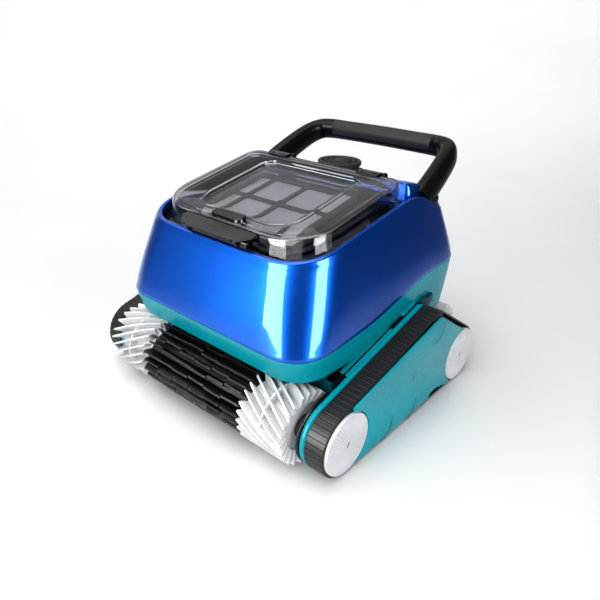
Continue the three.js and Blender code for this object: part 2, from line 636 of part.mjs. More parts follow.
for (const [side, word] of [[1, 'right'], [-1, 'left']]) {
  add(`inner_side_plate_${word}`, 'teal', sidePlate(side));
  add(`side_cover_${word}`, 'teal', sideCover(side));
  add(`track_belt_${word}`, 'rubber', prismX(
    wrap(beltCircles(0)), mirrored(BELT_X, side), [wrap(beltCircles(BELT_THICK)).reverse()]));
  add(`drive_roller_${word}`, 'black', turnedX(flipProfile([
    [0, 120], [DRIVE_SHAFT_R, 120], [DRIVE_SHAFT_R, 185], [ROLLER_R, 185], [ROLLER_R, 209], [0, 209],
  ], side), APEX.y, APEX.z, 24));
  for (const [end, place] of [[-1, 'front'], [1, 'rear']]) {
    add(`wheel_${place}_${word}`, 'teal', wheel(side, end));
    add(`hub_cap_${place}_${word}`, 'grey', turnedX(flipProfile(CAP_PROFILE, side), end * WHEEL_Y, WHEEL_Z, 28));
    add(`wheel_axle_${place}_${word}`, 'steel', turnedX(flipProfile([
      [0, 168.5], [9, 168.5], [9, PLATE_X[0] - GAP], [5, PLATE_X[0] - GAP], [5, 209], [0, 209],
    ], side), end * WHEEL_Y, WHEEL_Z, 12));
  }
}

// ---------------------------------------------------------------- brush rollers
function bladeOutline(cy, cz, radius, thick) {
  return Array.from({ length: BRUSH_BLADES }, (_, i) => i).flatMap((i) => {
    const angle = (i / BRUSH_BLADES) * 2 * Math.PI;
    const root = BRUSH_CORE_R + 4;
    const point = (r, across) => [
      cy + r * Math.cos(angle) - across * Math.sin(angle),
      cz + r * Math.sin(angle) + across * Math.cos(angle)];
    return [point(root, -thick), point(radius, -thick / 2), point(radius, thick / 2), point(root, thick)];
  });
}

for (const [end, place, geared] of [[-1, 'front', 1], [1, 'rear', -1]]) {
  const [y, z] = brushCentre(end);
  const phase = gearPhase(end) + Math.PI + Math.PI / BRUSH_TEETH;
  const shaft = turnedX([
    [0, -182.5], [5, -182.5], [5, -BRUSH_HALF - 1], [BRUSH_CORE_R, -BRUSH_HALF - 1],
    [BRUSH_CORE_R, BRUSH_HALF + 1], [5, BRUSH_HALF + 1], [5, 182.5], [0, 182.5],
  ], y, z, 20);
  const gear = prismX(gearOutline(BRUSH_TEETH, y, z, phase), mirrored([179.5, 188], geared));
  add(`${place}_brush_core`, 'black', join(shaft, gear));
  const sleeve = (radius, range) => prismX(bladeOutline(y, z, radius, 1.6), range,
    [circle(y, z, BRUSH_CORE_R + GAP, 20).reverse()]);
  add(`${place}_brush_blades`, 'rubber', sleeve(BRUSH_R - 1, [-BLADE_HALF, BLADE_HALF]));
  add(`${place}_brush_sleeve_right`, 'white', sleeve(BRUSH_R, [BLADE_HALF + GAP, BRUSH_HALF]));
  add(`${place}_brush_sleeve_left`, 'white', sleeve(BRUSH_R, [-BRUSH_HALF, -BLADE_HALF - GAP]));
}

// ---------------------------------------------------------------- suction flaps
for (const [side, word] of [[1, 'right'], [-1, 'left']]) {
  const plate = box(mirrored([SLOT.x[0] - 4, SLOT.x[1] + 4], side), [SLOT.y[0] - 3, FLAP.axisY],
    [FLOOR_Z + WALL + GAP, FLOOR_Z + WALL + GAP + FLAP.thick]);
  const barrel = rodX(2.2, mirrored([SLOT.x[0] - 4, SLOT.x[1] + 4], side), FLAP.axisY, FLAP.axisZ, 12);
  const stubs = rodX(1.5, mirrored([SLOT.x[0] - 12, SLOT.x[1] + 12], side), FLAP.axisY, FLAP.axisZ, 12);
  add(`intake_flap_${word}`, 'rubber', join(plate, barrel, stubs));
}

// ---------------------------------------------------------------- lid and latch
function lidShell() {
  const top = lidPlane(0);
  const shell = loft([
    ring(inset(WINDOW, 12), lidPlane(4.5)),
    ring(WINDOW, lidPlane(4.5)),
    ring(inset(WINDOW, -0.6), top),
    ring(inset(LID, 2), top),
    ring(LID, lidPlane(2)),
    ring({ ...inset(LID, -1.6), rear: LID.rear + 1 }, lidPlane(SKIRT)),
    ring({ ...inset(LID, 0.9), rear: LID.rear - 1.5 }, lidPlane(SKIRT)),
    ring(inset(LID, 2.5), lidPlane(3)),
    ring(inset(WINDOW, -3), lidPlane(3)),
    ring(inset(WINDOW, -2.5), lidPlane(7)),
    ring(inset(WINDOW, 12), lidPlane(7)),
  ]);
  const notch = onLidPlane(box([-63, 63], [alongSlope(-150), alongSlope(-129)], [-45, -3]));
  return cut(shell, notch);
}
add('lid', 'smoke', lidShell());

const TAB = { halfWidth: 27, front: alongSlope(-131), rear: alongSlope(-114), frontRadius: 8, rearRadius: 8 };
add('lid_tab', 'black', onLidPlane(prismZ(planOutline(TAB), [GAP, 5])));

for (const [side, word] of [[1, 'right'], [-1, 'left']]) {
  const span = mirrored([HINGE.x - HINGE.half, HINGE.x + HINGE.half], side);
  const top = lidPlane(-GAP);
  const leaf = prismX([[48, top(48)], [58, top(58)], [HINGE.y, HINGE.z - 1], [HINGE.y, HINGE.z + 3.2],
    [58, top(58) + 2.4], [48, top(48) + 1.6]], span);
  add(`lid_hinge_${word}`, 'black', cut(
    join(leaf, rodX(HINGE.r, span, HINGE.y, HINGE.z, 16)),
    rodX(HINGE.pin + GAP, [span[0] - 1, span[1] + 1], HINGE.y, HINGE.z, 8)));
  add(`hinge_pin_${word}`, 'steel', rodX(
    HINGE.pin, [span[0] - 5, span[1] + 5], HINGE.y, HINGE.z, 8));
}

const flapTop = (drop) => [-136.2, -158.5].map((y) => [y, LID_Z + LID_SLOPE * y - drop]);

function latchFlap() {
  const [[rearY, rearZ], [frontY, frontZ]] = flapTop(0.4);
  const thick = 4.2;
  const slab = prismX([[rearY, rearZ], [frontY, frontZ], [frontY - 0.4, frontZ - 1.5],
    [frontY, frontZ - thick + 0.6], [rearY, rearZ - thick]], [-62, 62]);
  const plan = prismZ([[-62, -136], [-62, -143], [-47, -160], [47, -160], [62, -143], [62, -136]], [240, 275]);
  const barrel = rodX(LATCH.r, [-LATCH.half, LATCH.half], LATCH.y, LATCH.z, 14);
  const bore = rodX(LATCH.pin + GAP, [-LATCH.half - 1, LATCH.half + 1], LATCH.y, LATCH.z, 12);
  const earRoom = [1, -1].map((side) => box(
    mirrored([LATCH.half + 1, LATCH.half + 6], side), [-159.5, -148], [240, 258]));
  return cut(join(common(slab, plan), barrel), bore, ...earRoom);
}
add('latch_flap', 'black', latchFlap());

function latchBox() {
  const bodyShape = prismX([[-137.2, 236.5], [-137.2, 257.6], [-149, 254.2], [-149, 246.6], [-141.2, 246.6],
    [-141.2, 236.5]], [-57, 57]);
  const ears = [1, -1].map((side) => cut(
    prismX([[-147, 247], [-147, 254.2], [-153, 257.4], [-156, 257.6], [-157.6, 256], [-152, 247]],
      mirrored([LATCH.half + 1.5, LATCH.half + 5.5], side)),
    rodX(LATCH.pin + GAP, mirrored([LATCH.half, LATCH.half + 7], side), LATCH.y, LATCH.z, 12)));
  return join(bodyShape, ...ears);
}
add('latch_box', 'black', latchBox());
add('latch_pin', 'steel', rodX(LATCH.pin, [-LATCH.half - 5, LATCH.half + 5], LATCH.y, LATCH.z, 12));

// ---------------------------------------------------------------- handle
// Rings of the oval section along the whole handle; the section's tall axis is square to the plane
// that the handle lies in.
function handleForm() {
  const mirroredPath = HANDLE.path.slice(0, -1).map(([x, y, z]) => [-x, y, z]);
  const both = (list) => [...list.slice(0, -1), ...[...list].reverse()];
  const route = [...mirroredPath, ...[...HANDLE.path].reverse()].map((p) => new THREE.Vector3(...p));
  const curve = new THREE.CatmullRomCurve3(route, false, 'centripetal');
  const up = new THREE.Vector3(0, -0.42, 0.9);
  const [tall, wide] = [both(HANDLE.tall), both(HANDLE.wide)];
  const steps = 26;
  const sizeAt = (list, u) => {
    const k = Math.min(Math.floor(u * (list.length - 1)), list.length - 2);
    return list[k] + (list[k + 1] - list[k]) * (u * (list.length - 1) - k);
  };
  return loft(Array.from({ length: steps + 1 }, (_, i) => {
    const u = i / steps;
    const centre = curve.getPoint(u);
    const across = curve.getTangent(u).cross(up).normalize();
    const above = across.clone().cross(curve.getTangent(u)).normalize();
    return circle(0, 0, 1, 12).map(([c, s]) => centre.clone()
      .addScaledVector(across, c * sizeAt(wide, u)).addScaledVector(above, s * sizeAt(tall, u)).toArray());
  }));
}

const GRIP_X = 96;
const GRIP_Y = 202;
const tube = handleForm();
const overRim = (y) => rimHeight(y) + GAP;
const rimForm = loft([
  ring(inset(RIM, -GAP), level(200)), ring(inset(RIM, -GAP), overRim), ring(inset(RIM, LIP + GAP), overRim)]);
add('handle', 'black', biggest(cut(
  tube, deckForm(GAP), rimForm, box([-GRIP_X - GAP, GRIP_X + GAP], [180, GRIP_Y + GAP], [320 - GAP, 345]))));
add('handle_grip', 'black', common(tube, box([-GRIP_X, GRIP_X], [180, GRIP_Y], [320, 345])));

// ---------------------------------------------------------------- origin at the footprint's centre
cleaner.updateMatrixWorld(true);
const reach = new THREE.Box3().setFromObject(cleaner);
cleaner.position.y = -(reach.min.y + reach.max.y) / 2;

export default cleaner;
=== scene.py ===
"""The looks of a tracked robotic pool cleaner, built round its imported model.

Shapes are worked out in millimetres with y = 0 half-way between the wheel axles, and solid() puts
them into the row frame in metres. The track's side view is given as (y, z), plans as (x, y).
"""

import json
import math
import random
from collections import namedtuple

import bmesh
import bpy
import numpy as np
from mathutils import Matrix, Vector


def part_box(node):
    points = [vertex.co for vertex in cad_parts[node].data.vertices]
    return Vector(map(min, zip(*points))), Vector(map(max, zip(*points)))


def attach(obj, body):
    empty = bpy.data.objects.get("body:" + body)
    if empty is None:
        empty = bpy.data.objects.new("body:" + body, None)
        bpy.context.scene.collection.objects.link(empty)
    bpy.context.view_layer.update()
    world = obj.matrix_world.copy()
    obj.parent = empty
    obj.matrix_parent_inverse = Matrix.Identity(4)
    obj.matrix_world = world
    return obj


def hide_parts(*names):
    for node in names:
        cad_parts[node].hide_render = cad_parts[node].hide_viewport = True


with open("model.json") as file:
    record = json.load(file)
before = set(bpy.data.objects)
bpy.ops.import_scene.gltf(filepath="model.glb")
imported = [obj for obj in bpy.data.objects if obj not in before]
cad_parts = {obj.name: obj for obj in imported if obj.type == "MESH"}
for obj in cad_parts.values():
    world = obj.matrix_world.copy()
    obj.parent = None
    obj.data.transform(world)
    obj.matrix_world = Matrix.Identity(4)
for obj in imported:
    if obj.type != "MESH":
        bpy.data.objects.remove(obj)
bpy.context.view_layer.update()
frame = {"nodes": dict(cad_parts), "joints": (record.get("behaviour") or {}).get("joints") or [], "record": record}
scene = bpy.context.scene

# ---------------------------------------------------------------- measures taken from the frame
MM = 0.001
TURN = 2 * math.pi


def row_centre(node):
    lowest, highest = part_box(node)
    return (lowest + highest) / 2 / MM


MID_Y = (row_centre("wheel_front_right").y + row_centre("wheel_rear_right").y) / 2
SHIFT = Vector((0, MID_Y, 0))


def low(node):
    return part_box(node)[0] / MM - SHIFT


def high(node):
    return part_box(node)[1] / MM - SHIFT


def centre(node):
    return (low(node) + high(node)) / 2


def joint_point(name):
    joint = next(j for j in frame["joints"] if j["name"] == name)
    return Vector(joint["pos_m"]) / MM - SHIFT


WHEEL = centre("wheel_rear_right")
BELT_X = (low("track_belt_right").x, high("track_belt_right").x)
TRACK_R = high("track_belt_right").y - WHEEL.y
APEX = centre("drive_roller_right")
APEX_R = high("track_belt_right").z - APEX.z
BELT_THICK = 2.5
PLATE_X = (173.4, high("inner_side_plate_right").x)
COVER_X = (low("side_cover_right").x, high("side_cover_right").x)
CAP_X = (low("hub_cap_rear_right").x, high("hub_cap_rear_right").x)
CAP_R = high("hub_cap_rear_right").y - WHEEL.y

BRUSH = centre("rear_brush_blades")
BRUSH_R = high("rear_brush_sleeve_right").y - BRUSH.y
BLADE_HALF = high("rear_brush_blades").x
BRUSH_HALF = high("rear_brush_sleeve_right").x
CORE_R = 15.3
ROOT_R = 32
BRUSH_ROWS = 23

Plan = namedtuple("Plan", "half front rear front_radius rear_radius bow", defaults=(0,))
HULL = Plan(high("cowl").x, low("cowl").y, high("cowl").y, 50, 42, 2)
RIM = Plan(HULL.half - 20.5, HULL.front + 27, HULL.rear - 26, 60, 38)
TUB_LIP = Plan(HULL.half - 7.5, HULL.front + 9, HULL.rear - 10, 46, 36, 1)
TUB_BOX = Plan(158, -103, 103, 14, 14)
STEP_Z = 106
FLOOR_Z = low("chassis_tub").z
LIP = 7.5

LID_SLOPE = 0.22
SKIRT_FLARE = 1.6
LID = Plan(high("lid").x - SKIRT_FLARE, -134.4, 59, 61, 20)
LID_Z = 294.1
SKIRT = 27
WINDOW = Plan(84, -109, 38, 34, 17)
LEDGE = 29
PANEL_DROPS = (25.6, 22.6)
SCREEN_DROPS = (28.2, 26)
PANEL_COLUMNS = (-61, 0, 61)
PANEL_ROW = -32
BASKET = Plan(95.5, -112.5, 30.5, 30, 12)
TRAY = Plan(RIM.half - 8, RIM.front + 8, high("filter_bay").y, 52, 4)
DECK = Plan(137, 62, 149, 3, 32)
OUTLET = centre("outlet_duct")
HINGE = joint_point("lid_hinge")
LATCH = joint_point("latch_hinge")


# ---------------------------------------------------------------- curves and plans
def spline(knots, samples=240):
    """Points along a Catmull-Rom curve through the knots."""
    points = [np.array(k, float) for k in knots]
    found = []
    for i in range(samples + 1):
        place = (len(points) - 1) * i / samples
        k = min(int(place), len(points) - 2)
        t = place - k
        a, b, c, d = points[max(k - 1, 0)], points[k], points[k + 1], points[min(k + 2, len(points) - 1)]
        into, out = (c - a) / 2, (d - b) / 2
        found.append(((2 * b - 2 * c + into + out) * t + (3 * c - 3 * b - 2 * into - out)) * t * t
                     + into * t + b)
    return np.array(found)


def height_along(knots):
    line = spline(knots)
    return lambda y: float(np.interp(y, line[:, 0], line[:, 1]))


seam = height_along([(-180, 138), (-110, 144), (-40, 151), (25, 166), (75, 178), (120, 181), (190, 182)])
rim = height_along([(-152, 243), (-110, 253), (-70, 262), (10, 278), (58, 285.5), (90, 282), (130, 268),
                    (164, 252)])
deck_top = height_along([(62, 302.6), (80, 300), (100, 294), (122, 281), (150, 266)])


def lid_plane(drop):
    return lambda y: LID_Z + LID_SLOPE * y - drop


def level(z):
    return lambda y: z


def lifted(height, by):
    return lambda y: height(y) + by


def grown(plan, by):
    return Plan(plan.half + by, plan.front - by, plan.rear + by,
                max(plan.front_radius + by, 1), max(plan.rear_radius + by, 1), plan.bow)


def mixed(a, b, share):
    return Plan(*(p + (q - p) * share for p, q in zip(a, b)))


def outline(plan, corner=14, side=24, end=14):
    """Points round a rounded plan, anticlockwise from above, the same count for every size."""
    middle, reach = (plan.front + plan.rear) / 2, (plan.rear - plan.front) / 2
    corner_x = plan.half - plan.bow
    points = []

    def arc(sign, radius, y, start):
        for i in range(corner + 1):
            angle = start + i / corner * math.pi / 2
            points.append((sign * (corner_x - radius) + radius * math.cos(angle), y
                           + radius * math.sin(angle)))

    def flank(sign, y0, y1):
        for i in range(1, side):
            y = y0 + (y1 - y0) * i / side
            points.append((sign * (plan.half - plan.bow * ((y - middle) / reach) ** 2), y))

    def face(y, x0, x1):
        points.extend((x0 + (x1 - x0) * i / end, y) for i in range(1, end))

    front, rear = plan.front + plan.front_radius, plan.rear - plan.rear_radius
    flank(1, front, rear)
    arc(1, plan.rear_radius, rear, 0)
    face(plan.rear, corner_x - plan.rear_radius, plan.rear_radius - corner_x)
    arc(-1, plan.rear_radius, rear, math.pi / 2)
    flank(-1, rear, front)
    arc(-1, plan.front_radius, front, math.pi)
    face(plan.front, plan.front_radius - corner_x, corner_x - plan.front_radius)
    arc(1, plan.front_radius, front, 1.5 * math.pi)
    return points


def ring(plan, height, **steps):
    return [(x, y, height(y)) for x, y in outline(plan, **steps)]


# ---------------------------------------------------------------- solids
def solid(points, faces):
    """A closed object from points in millimetres, with its faces pointing out."""
    mesh = bpy.data.meshes.new("solid")
    mesh.from_pydata([(x * MM, (y + MID_Y) * MM, z * MM) for x, y, z in points], [], faces)
    form = bmesh.new()
    form.from_mesh(mesh)
    bmesh.ops.remove_doubles(form, verts=form.verts, dist=1e-6)
    bmesh.ops.recalc_face_normals(form, faces=form.faces)
    form.to_mesh(mesh)
    form.free()
    made = bpy.data.objects.new("solid", mesh)
    scene.collection.objects.link(made)
    return made


def skin(rings, loops=False):
    """Points and faces of a surface over a stack of rings, closed on itself or capped at both ends."""
    count = len(rings[0])
    points = [p for one in rings for p in one]
    faces = []
    for k in range(len(rings) if loops else len(rings) - 1):
        a, b = k * count, (k + 1) % len(rings) * count
        faces += [(a + i, a + (i + 1) % count, b + (i + 1) % count, b + i) for i in range(count)]
    if not loops:
        faces += [tuple(range(count)), tuple(range(len(points) - count, len(points)))]
    return points, faces


def loft(rings, loops=False):
    return solid(*skin(rings, loops))


def prism(shape, span, axis="X"):
    """Extruded from (y, z) points along X, or from (x, y) points along Z."""
    if axis == "X":
        return loft([[(x, y, z) for y, z in shape] for x in span])
    return loft([[(x, y, z) for x, y in shape] for z in span])


def block(x, y, z):
    return prism([(y[0], z[0]), (y[1], z[0]), (y[1], z[1]), (y[0], z[1])], x)


def turned(profile, at, side=1, axis="X", steps=64, ripple=None):
    """Turned from (radius, distance) points about a line along X or Z through at.
    ripple(radius, angle) moves a point along the line. A profile off the line closes on itself."""
    rings = []
    for radius, along in profile:
        one = []
        for i in range(steps):
            angle = TURN * i / steps
            c, s = radius * math.cos(angle), radius * math.sin(angle)
            d = side * (along + (ripple(radius, angle) if ripple else 0))
            one.append((at[0] + d, at[1] + c, at[2] + s)
                       if axis == "X" else (at[0] + c, at[1] + s, at[2] + d))
        rings.append(one)
    on_axis = profile[0][0] == 0 and profile[-1][0] == 0
    return loft(rings, loops=not on_axis)


def settle(made):
    """Applies the modifiers."""
    mesh = bpy.data.meshes.new_from_object(made.evaluated_get(bpy.context.evaluated_depsgraph_get()))
    made.modifiers.clear()
    made.data = mesh
    return made


def combine(made, operation, tools):
    for tool in tools:
        step = made.modifiers.new("step", "BOOLEAN")
        step.operation = operation
        step.solver = "EXACT"
        step.object = tool
    settle(made)
    for tool in tools:
        bpy.data.objects.remove(tool)
    return made


def cut(made, *tools):
    return combine(made, "DIFFERENCE", tools)


def join(made, *tools):
    return combine(made, "UNION", tools)


def rounded(made, width, segments=3, angle=32):
    """Rounds the edges that are sharper than the angle."""
    step = made.modifiers.new("round", "BEVEL")
    step.width = width * MM
    step.segments = segments
    step.limit_method = "ANGLE"
    step.angle_limit = math.radians(angle)
    step.use_clamp_overlap = True
    return settle(made)


def gather(parts):
    """One object holding several closed bodies."""
    form = bmesh.new()
    for part in parts:
        form.from_mesh(part.data)
    first = parts[0]
    form.to_mesh(first.data)
    form.free()
    for part in parts[1:]:
        bpy.data.objects.remove(part)
    return first


def show(made, name, body, material, nodes=(), crease=40):
    """Names a piece, gives it its material and ties it to the frame."""
    made.name = name
    made.data.name = name
    made.data.materials.clear()
    made.data.materials.append(material)
    made.data.polygons.foreach_set("use_smooth", [True] * len(made.data.polygons))
    made.data.set_sharp_from_angle(angle=math.radians(crease))
    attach(made, body)
    if nodes:
        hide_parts(*nodes)
    return made


SIDES = ((1, "right"), (-1, "left"))
ENDS = ((-1, "front"), (1, "rear"))


def sided(span, side):
    return tuple(sorted(side * x for x in span))


# ---------------------------------------------------------------- materials
class Finish:
    """A Principled material with helpers for its procedural nodes."""

    def __init__(self, name, **values):
        self.material = bpy.data.materials.new(name)
        self.material.use_nodes = True
        self.tree = self.material.node_tree
        self.shader = self.tree.nodes["Principled BSDF"]
        self.place = self.tree.nodes.new("ShaderNodeTexCoord").outputs["Object"]
        for socket, value in values.items():
            self.shader.inputs[socket.replace("_", " ")].default_value = value

    def node(self, kind, **links):
        made = self.tree.nodes.new("ShaderNode" + kind)
        for socket, value in links.items():
            self.put(made.inputs[socket.replace("_", " ")], value)
        return made

    def put(self, socket, value):
        if isinstance(value, bpy.types.NodeSocket):
            self.tree.links.new(value, socket)
        else:
            socket.default_value = value

    def stretched(self, scale):
        """The piece's own coordinates, scaled along each axis."""
        return self.node("Mapping", Vector=self.place, Scale=scale).outputs["Vector"]

    def noise(self, scale, detail=3, roughness=0.55, vector=None):
        made = self.node("TexNoise", Vector=vector or self.place, Scale=scale, Detail=detail,
                         Roughness=roughness)
        return made.outputs["Fac"]

    def cells(self, scale, vector=None):
        return self.node("TexVoronoi", Vector=vector or self.place, Scale=scale)

    def ramp(self, value, *stops):
        """Colours or greys at positions along the value."""
        made = self.node("ValToRGB", Fac=value)
        points = made.color_ramp.elements
        while len(points) < len(stops):
            points.new(0.5)
        for point, (position, colour) in zip(points, stops):
            point.position = position
            point.color = (*colour, 1) if isinstance(colour, tuple) else (colour, colour, colour, 1)
        return made.outputs["Color"]

    def sharpness(self, low_value, high_value):
        """0 on flat faces, 1 on outer edges."""
        pointed = self.node("NewGeometry").outputs["Pointiness"]
        return self.ramp(pointed, (low_value, 0.0), (high_value, 1.0))

    def blend(self, share, a, b, mode="MIX"):
        made = self.tree.nodes.new("ShaderNodeMix")
        made.data_type = "RGBA"
        made.blend_type = mode
        self.put(made.inputs["Factor"], share)
        self.put(made.inputs["A"], (*a, 1) if isinstance(a, tuple) else a)
        self.put(made.inputs["B"], (*b, 1) if isinstance(b, tuple) else b)
        return made.outputs["Result"]

    def bump(self, height, strength, distance, below=None):
        made = self.node("Bump", Height=height, Strength=strength, Distance=distance)
        if below:
            self.tree.links.new(below, made.inputs["Normal"])
        return made.outputs["Normal"]

    def use(self, colour=None, roughness=None, normal=None):
        for socket, value in (("Base Color", colour), ("Roughness", roughness), ("Normal", normal)):
            if value is not None:
                self.put(self.shader.inputs[socket], value)
        return self.material


def metallic_paint():
    """Blue metallic lacquer: fine flakes under a clear coat."""
    paint = Finish("metallic_blue", Metallic=0.82, Coat_Weight=0.7, Coat_Roughness=0.02, Coat_IOR=1.5)
    flakes = paint.cells(2600)
    sparkle = paint.ramp(flakes.outputs["Color"], (0.2, (0.0002, 0.073, 0.40)), (0.75, (0.0004, 0.125, 0.57)))
    cloud = paint.ramp(paint.noise(9, 2), (0.35, (0.0002, 0.075, 0.47)), (0.7, (0.0005, 0.11, 0.58)))
    colour = paint.blend(0.5, cloud, sparkle)
    roughness = paint.ramp(paint.noise(900, 2), (0.3, 0.28), (0.7, 0.34))
    return paint.use(colour, roughness, paint.bump(flakes.outputs["Distance"], 0.012, 0.0002))


def gloss_teal(name, dark, light, roughness=0.2):
    """Moulded teal plastic with a slight orange-peel skin."""
    plastic = Finish(name, Coat_Weight=0.06, Coat_Roughness=0.06, Specular_IOR_Level=0.25)
    colour = plastic.ramp(plastic.noise(14, 3), (0.3, dark), (0.72, light))
    scuffs = plastic.ramp(plastic.noise(260, 5), (0.35, roughness), (0.75, roughness + 0.1))
    return plastic.use(colour, scuffs, plastic.bump(plastic.noise(420, 2), 0.05, 0.0004))


def black_plastic(name, grey, roughness, grain, strength, coat=0.0, shine=0.3):
    """Black moulding; grain is the scale of its surface texture."""
    plastic = Finish(name, Coat_Weight=coat, Coat_Roughness=0.08, Specular_IOR_Level=shine)
    tone = plastic.ramp(plastic.noise(20, 3), (0.3, grey * 0.75), (0.75, grey * 1.25))
    rough = plastic.ramp(plastic.noise(grain / 3, 4), (0.3, roughness * 0.88), (0.75, roughness * 1.14))
    return plastic.use(tone, rough, plastic.bump(plastic.noise(grain, 3), strength, 0.0003))


def rubber(name, grey, edge, roughness, sharp):
    """Moulded rubber, paler along its sharp edges as a painted highlight."""
    made = Finish(name, Specular_IOR_Level=0.3)
    # Painted highlight: the colour turns lighter on sharp edges, found from pointiness.
    edge_highlight = made.sharpness(*sharp)
    tone = made.ramp(made.noise(35, 4), (0.3, grey * 0.7), (0.75, grey * 1.3))
    colour = made.blend(edge_highlight, tone, (edge, edge, edge * 1.04))
    rough = made.ramp(made.noise(150, 4), (0.3, roughness), (0.75, roughness + 0.14))
    return made.use(colour, rough, made.bump(made.noise(700, 3), 0.12, 0.0003))


def soft_pvc():
    """White flexible vinyl: satin and a little translucent."""
    made = Finish("white_pvc", Subsurface_Weight=0.25, Subsurface_Radius=(0.004, 0.004, 0.004),
                  Subsurface_Scale=1.0)
    colour = made.ramp(made.noise(60, 4), (0.3, (0.66, 0.665, 0.68)), (0.7, (0.76, 0.76, 0.77)))
    rough = made.ramp(made.noise(220, 3), (0.3, 0.36), (0.7, 0.48))
    return made.use(colour, rough, made.bump(made.noise(350, 3), 0.1, 0.0004))


def pale_plastic():
    made = Finish("light_grey_plastic", Specular_IOR_Level=0.45)
    colour = made.ramp(made.noise(45, 4), (0.3, (0.6, 0.61, 0.63)), (0.7, (0.7, 0.71, 0.73)))
    rough = made.ramp(made.noise(200, 4), (0.3, 0.38), (0.7, 0.5))
    return made.use(colour, rough, made.bump(made.noise(900, 3), 0.14, 0.0003))


def smoked_lid():
    """Clear smoked plastic, polished."""
    made = Finish("smoked_clear", Transmission_Weight=1.0, IOR=1.46, Roughness=0.0, Specular_IOR_Level=0.5)
    tint = made.ramp(made.noise(7, 2), (0.3, (0.62, 0.63, 0.65)), (0.7, (0.67, 0.68, 0.70)))
    return made.use(colour=tint)


def woven_screen():
    """Fine grey filter cloth: a plain weave of 0.5 mm threads."""
    made = Finish("filter_mesh", Specular_IOR_Level=0.3, Roughness=0.7)
    waves = []
    for axis in ("X", "Y"):
        wave = made.node("TexWave", Vector=made.place, Scale=320.0)
        wave.wave_type = "BANDS"
        wave.bands_direction = axis
        waves.append(wave.outputs["Fac"])
    weave = made.blend(0.5, waves[0], waves[1], "MULTIPLY")
    colour = made.ramp(weave, (0.1, (0.45, 0.45, 0.47)), (0.8, (0.78, 0.78, 0.82)))
    cloud = made.ramp(made.noise(25, 3), (0.3, 0.82), (0.7, 1.0))
    return made.use(made.blend(1.0, colour, cloud, "MULTIPLY"), None, made.bump(weave, 0.25, 0.0002))


def steel():
    made = Finish("steel", Metallic=1.0)
    grain = made.noise(60, 3, 0.6, made.stretched((60, 6, 6)))
    colour = made.ramp(grain, (0.3, (0.5, 0.51, 0.52)), (0.7, (0.66, 0.67, 0.68)))
    return made.use(colour, made.ramp(grain, (0.3, 0.22), (0.7, 0.36)), made.bump(grain, 0.05, 0.0002))


def circuit_green():
    made = Finish("circuit_board", Roughness=0.4)
    tracks = made.cells(140)
    tracks.feature = "DISTANCE_TO_EDGE"
    colour = made.ramp(tracks.outputs["Distance"], (0.02, (0.35, 0.3, 0.08)), (0.06, (0.01, 0.13, 0.05)))
    return made.use(colour, None, made.bump(tracks.outputs["Distance"], 0.2, 0.0003))


BLUE = metallic_paint()
TEAL = gloss_teal("teal_plastic", (0.0005, 0.29, 0.35), (0.001, 0.35, 0.42))
DARK_TEAL = gloss_teal("dark_teal_plastic", (0.002, 0.055, 0.06), (0.004, 0.075, 0.08), 0.35)
# Painted shade: a darker teal for the flat crescents that stand in for the side cover's shaded moulded grooves.
GROOVE_SHADE_TEAL = gloss_teal("groove_shade_teal_plastic", (0.0005, 0.16, 0.20), (0.001, 0.19, 0.24))
GLOSS_BLACK = black_plastic("gloss_black", 0.006, 0.22, 60, 0.02, coat=0.4)
SATIN_BLACK = black_plastic("satin_black", 0.006, 0.3, 1500, 0.08, shine=0.18)
MATT_BLACK = black_plastic("matt_black", 0.030, 0.55, 1300, 0.22)
GREY_BLACK = black_plastic("grey_black", 0.036, 0.6, 1100, 0.2)
BELT = rubber("belt_rubber", 0.006, 0.12, 0.28, (0.54, 0.68))
BLADE = rubber("blade_rubber", 0.003, 0.07, 0.36, (0.56, 0.74))
WHITE = soft_pvc()
GREY = pale_plastic()
SMOKE = smoked_lid()
SCREEN = woven_screen()
STEEL = steel()
BOARD = circuit_green()

SLOT_FINISH = {
    "metallic_blue": BLUE, "teal_plastic": TEAL, "gloss_black": GLOSS_BLACK, "matt_black": MATT_BLACK,
    "belt_rubber": BELT, "black_rubber": BLADE, "white_pvc": WHITE, "light_grey_plastic": GREY,
    "smoked_clear": SMOKE, "filter_mesh": SCREEN, "steel": STEEL, "circuit_board": BOARD,
}


def finish_frame():
    """Gives every CAD node that stays in view the finish of its material slot."""
    for part in frame["record"]["subparts"]:
        mesh = frame["nodes"][part["node"]].data
        mesh.materials.clear()
        mesh.materials.append(SLOT_FINISH[part["material_slot"]])


# ---------------------------------------------------------------- camera, light and floor
def camera():
    azimuth, elevation, roll = (math.radians(a) for a in (40.14, 25.96, 1.82))
    back = Vector((math.sin(azimuth) * math.cos(elevation), -math.cos(azimuth) * math.cos(elevation),
                   math.sin(elevation)))
    data = bpy.data.cameras.new("camera")
    data.lens = 34.2
    data.sensor_width = 36
    made = bpy.data.objects.new("camera", data)
    scene.collection.objects.link(made)
    aim = (-back).to_track_quat("-Z", "Y").to_matrix().to_4x4()
    place = Matrix.Translation(Vector((0.505, -0.58024 + MID_Y * MM, 0.48515)))
    made.matrix_world = place @ aim @ Matrix.Rotation(roll, 4, "Z")
    scene.camera = made


def aside(azimuth, elevation, distance):
    """A direction from the object times a distance; azimuth 0 is in front of it and 90 to its right."""
    a, e = math.radians(azimuth), math.radians(elevation)
    return Vector((math.sin(a) * math.cos(e), -math.cos(a) * math.cos(e), math.sin(e))) * distance


def panel(name, place, aim, width, height, power, fills=True, shines=True):
    """A soft box at a place that faces the aim; both are measured from the middle of the wheelbase."""
    data = bpy.data.lights.new(name, "AREA")
    data.shape = "RECTANGLE"
    data.size = width
    data.size_y = height
    data.energy = power
    made = bpy.data.objects.new(name, data)
    scene.collection.objects.link(made)
    made.location = place + Vector((0, MID_Y * MM, 0))
    made.rotation_euler = (place - aim).to_track_quat("Z", "Y").to_euler()
    made.visible_camera = False
    made.visible_diffuse = fills
    made.visible_glossy = shines
    return made


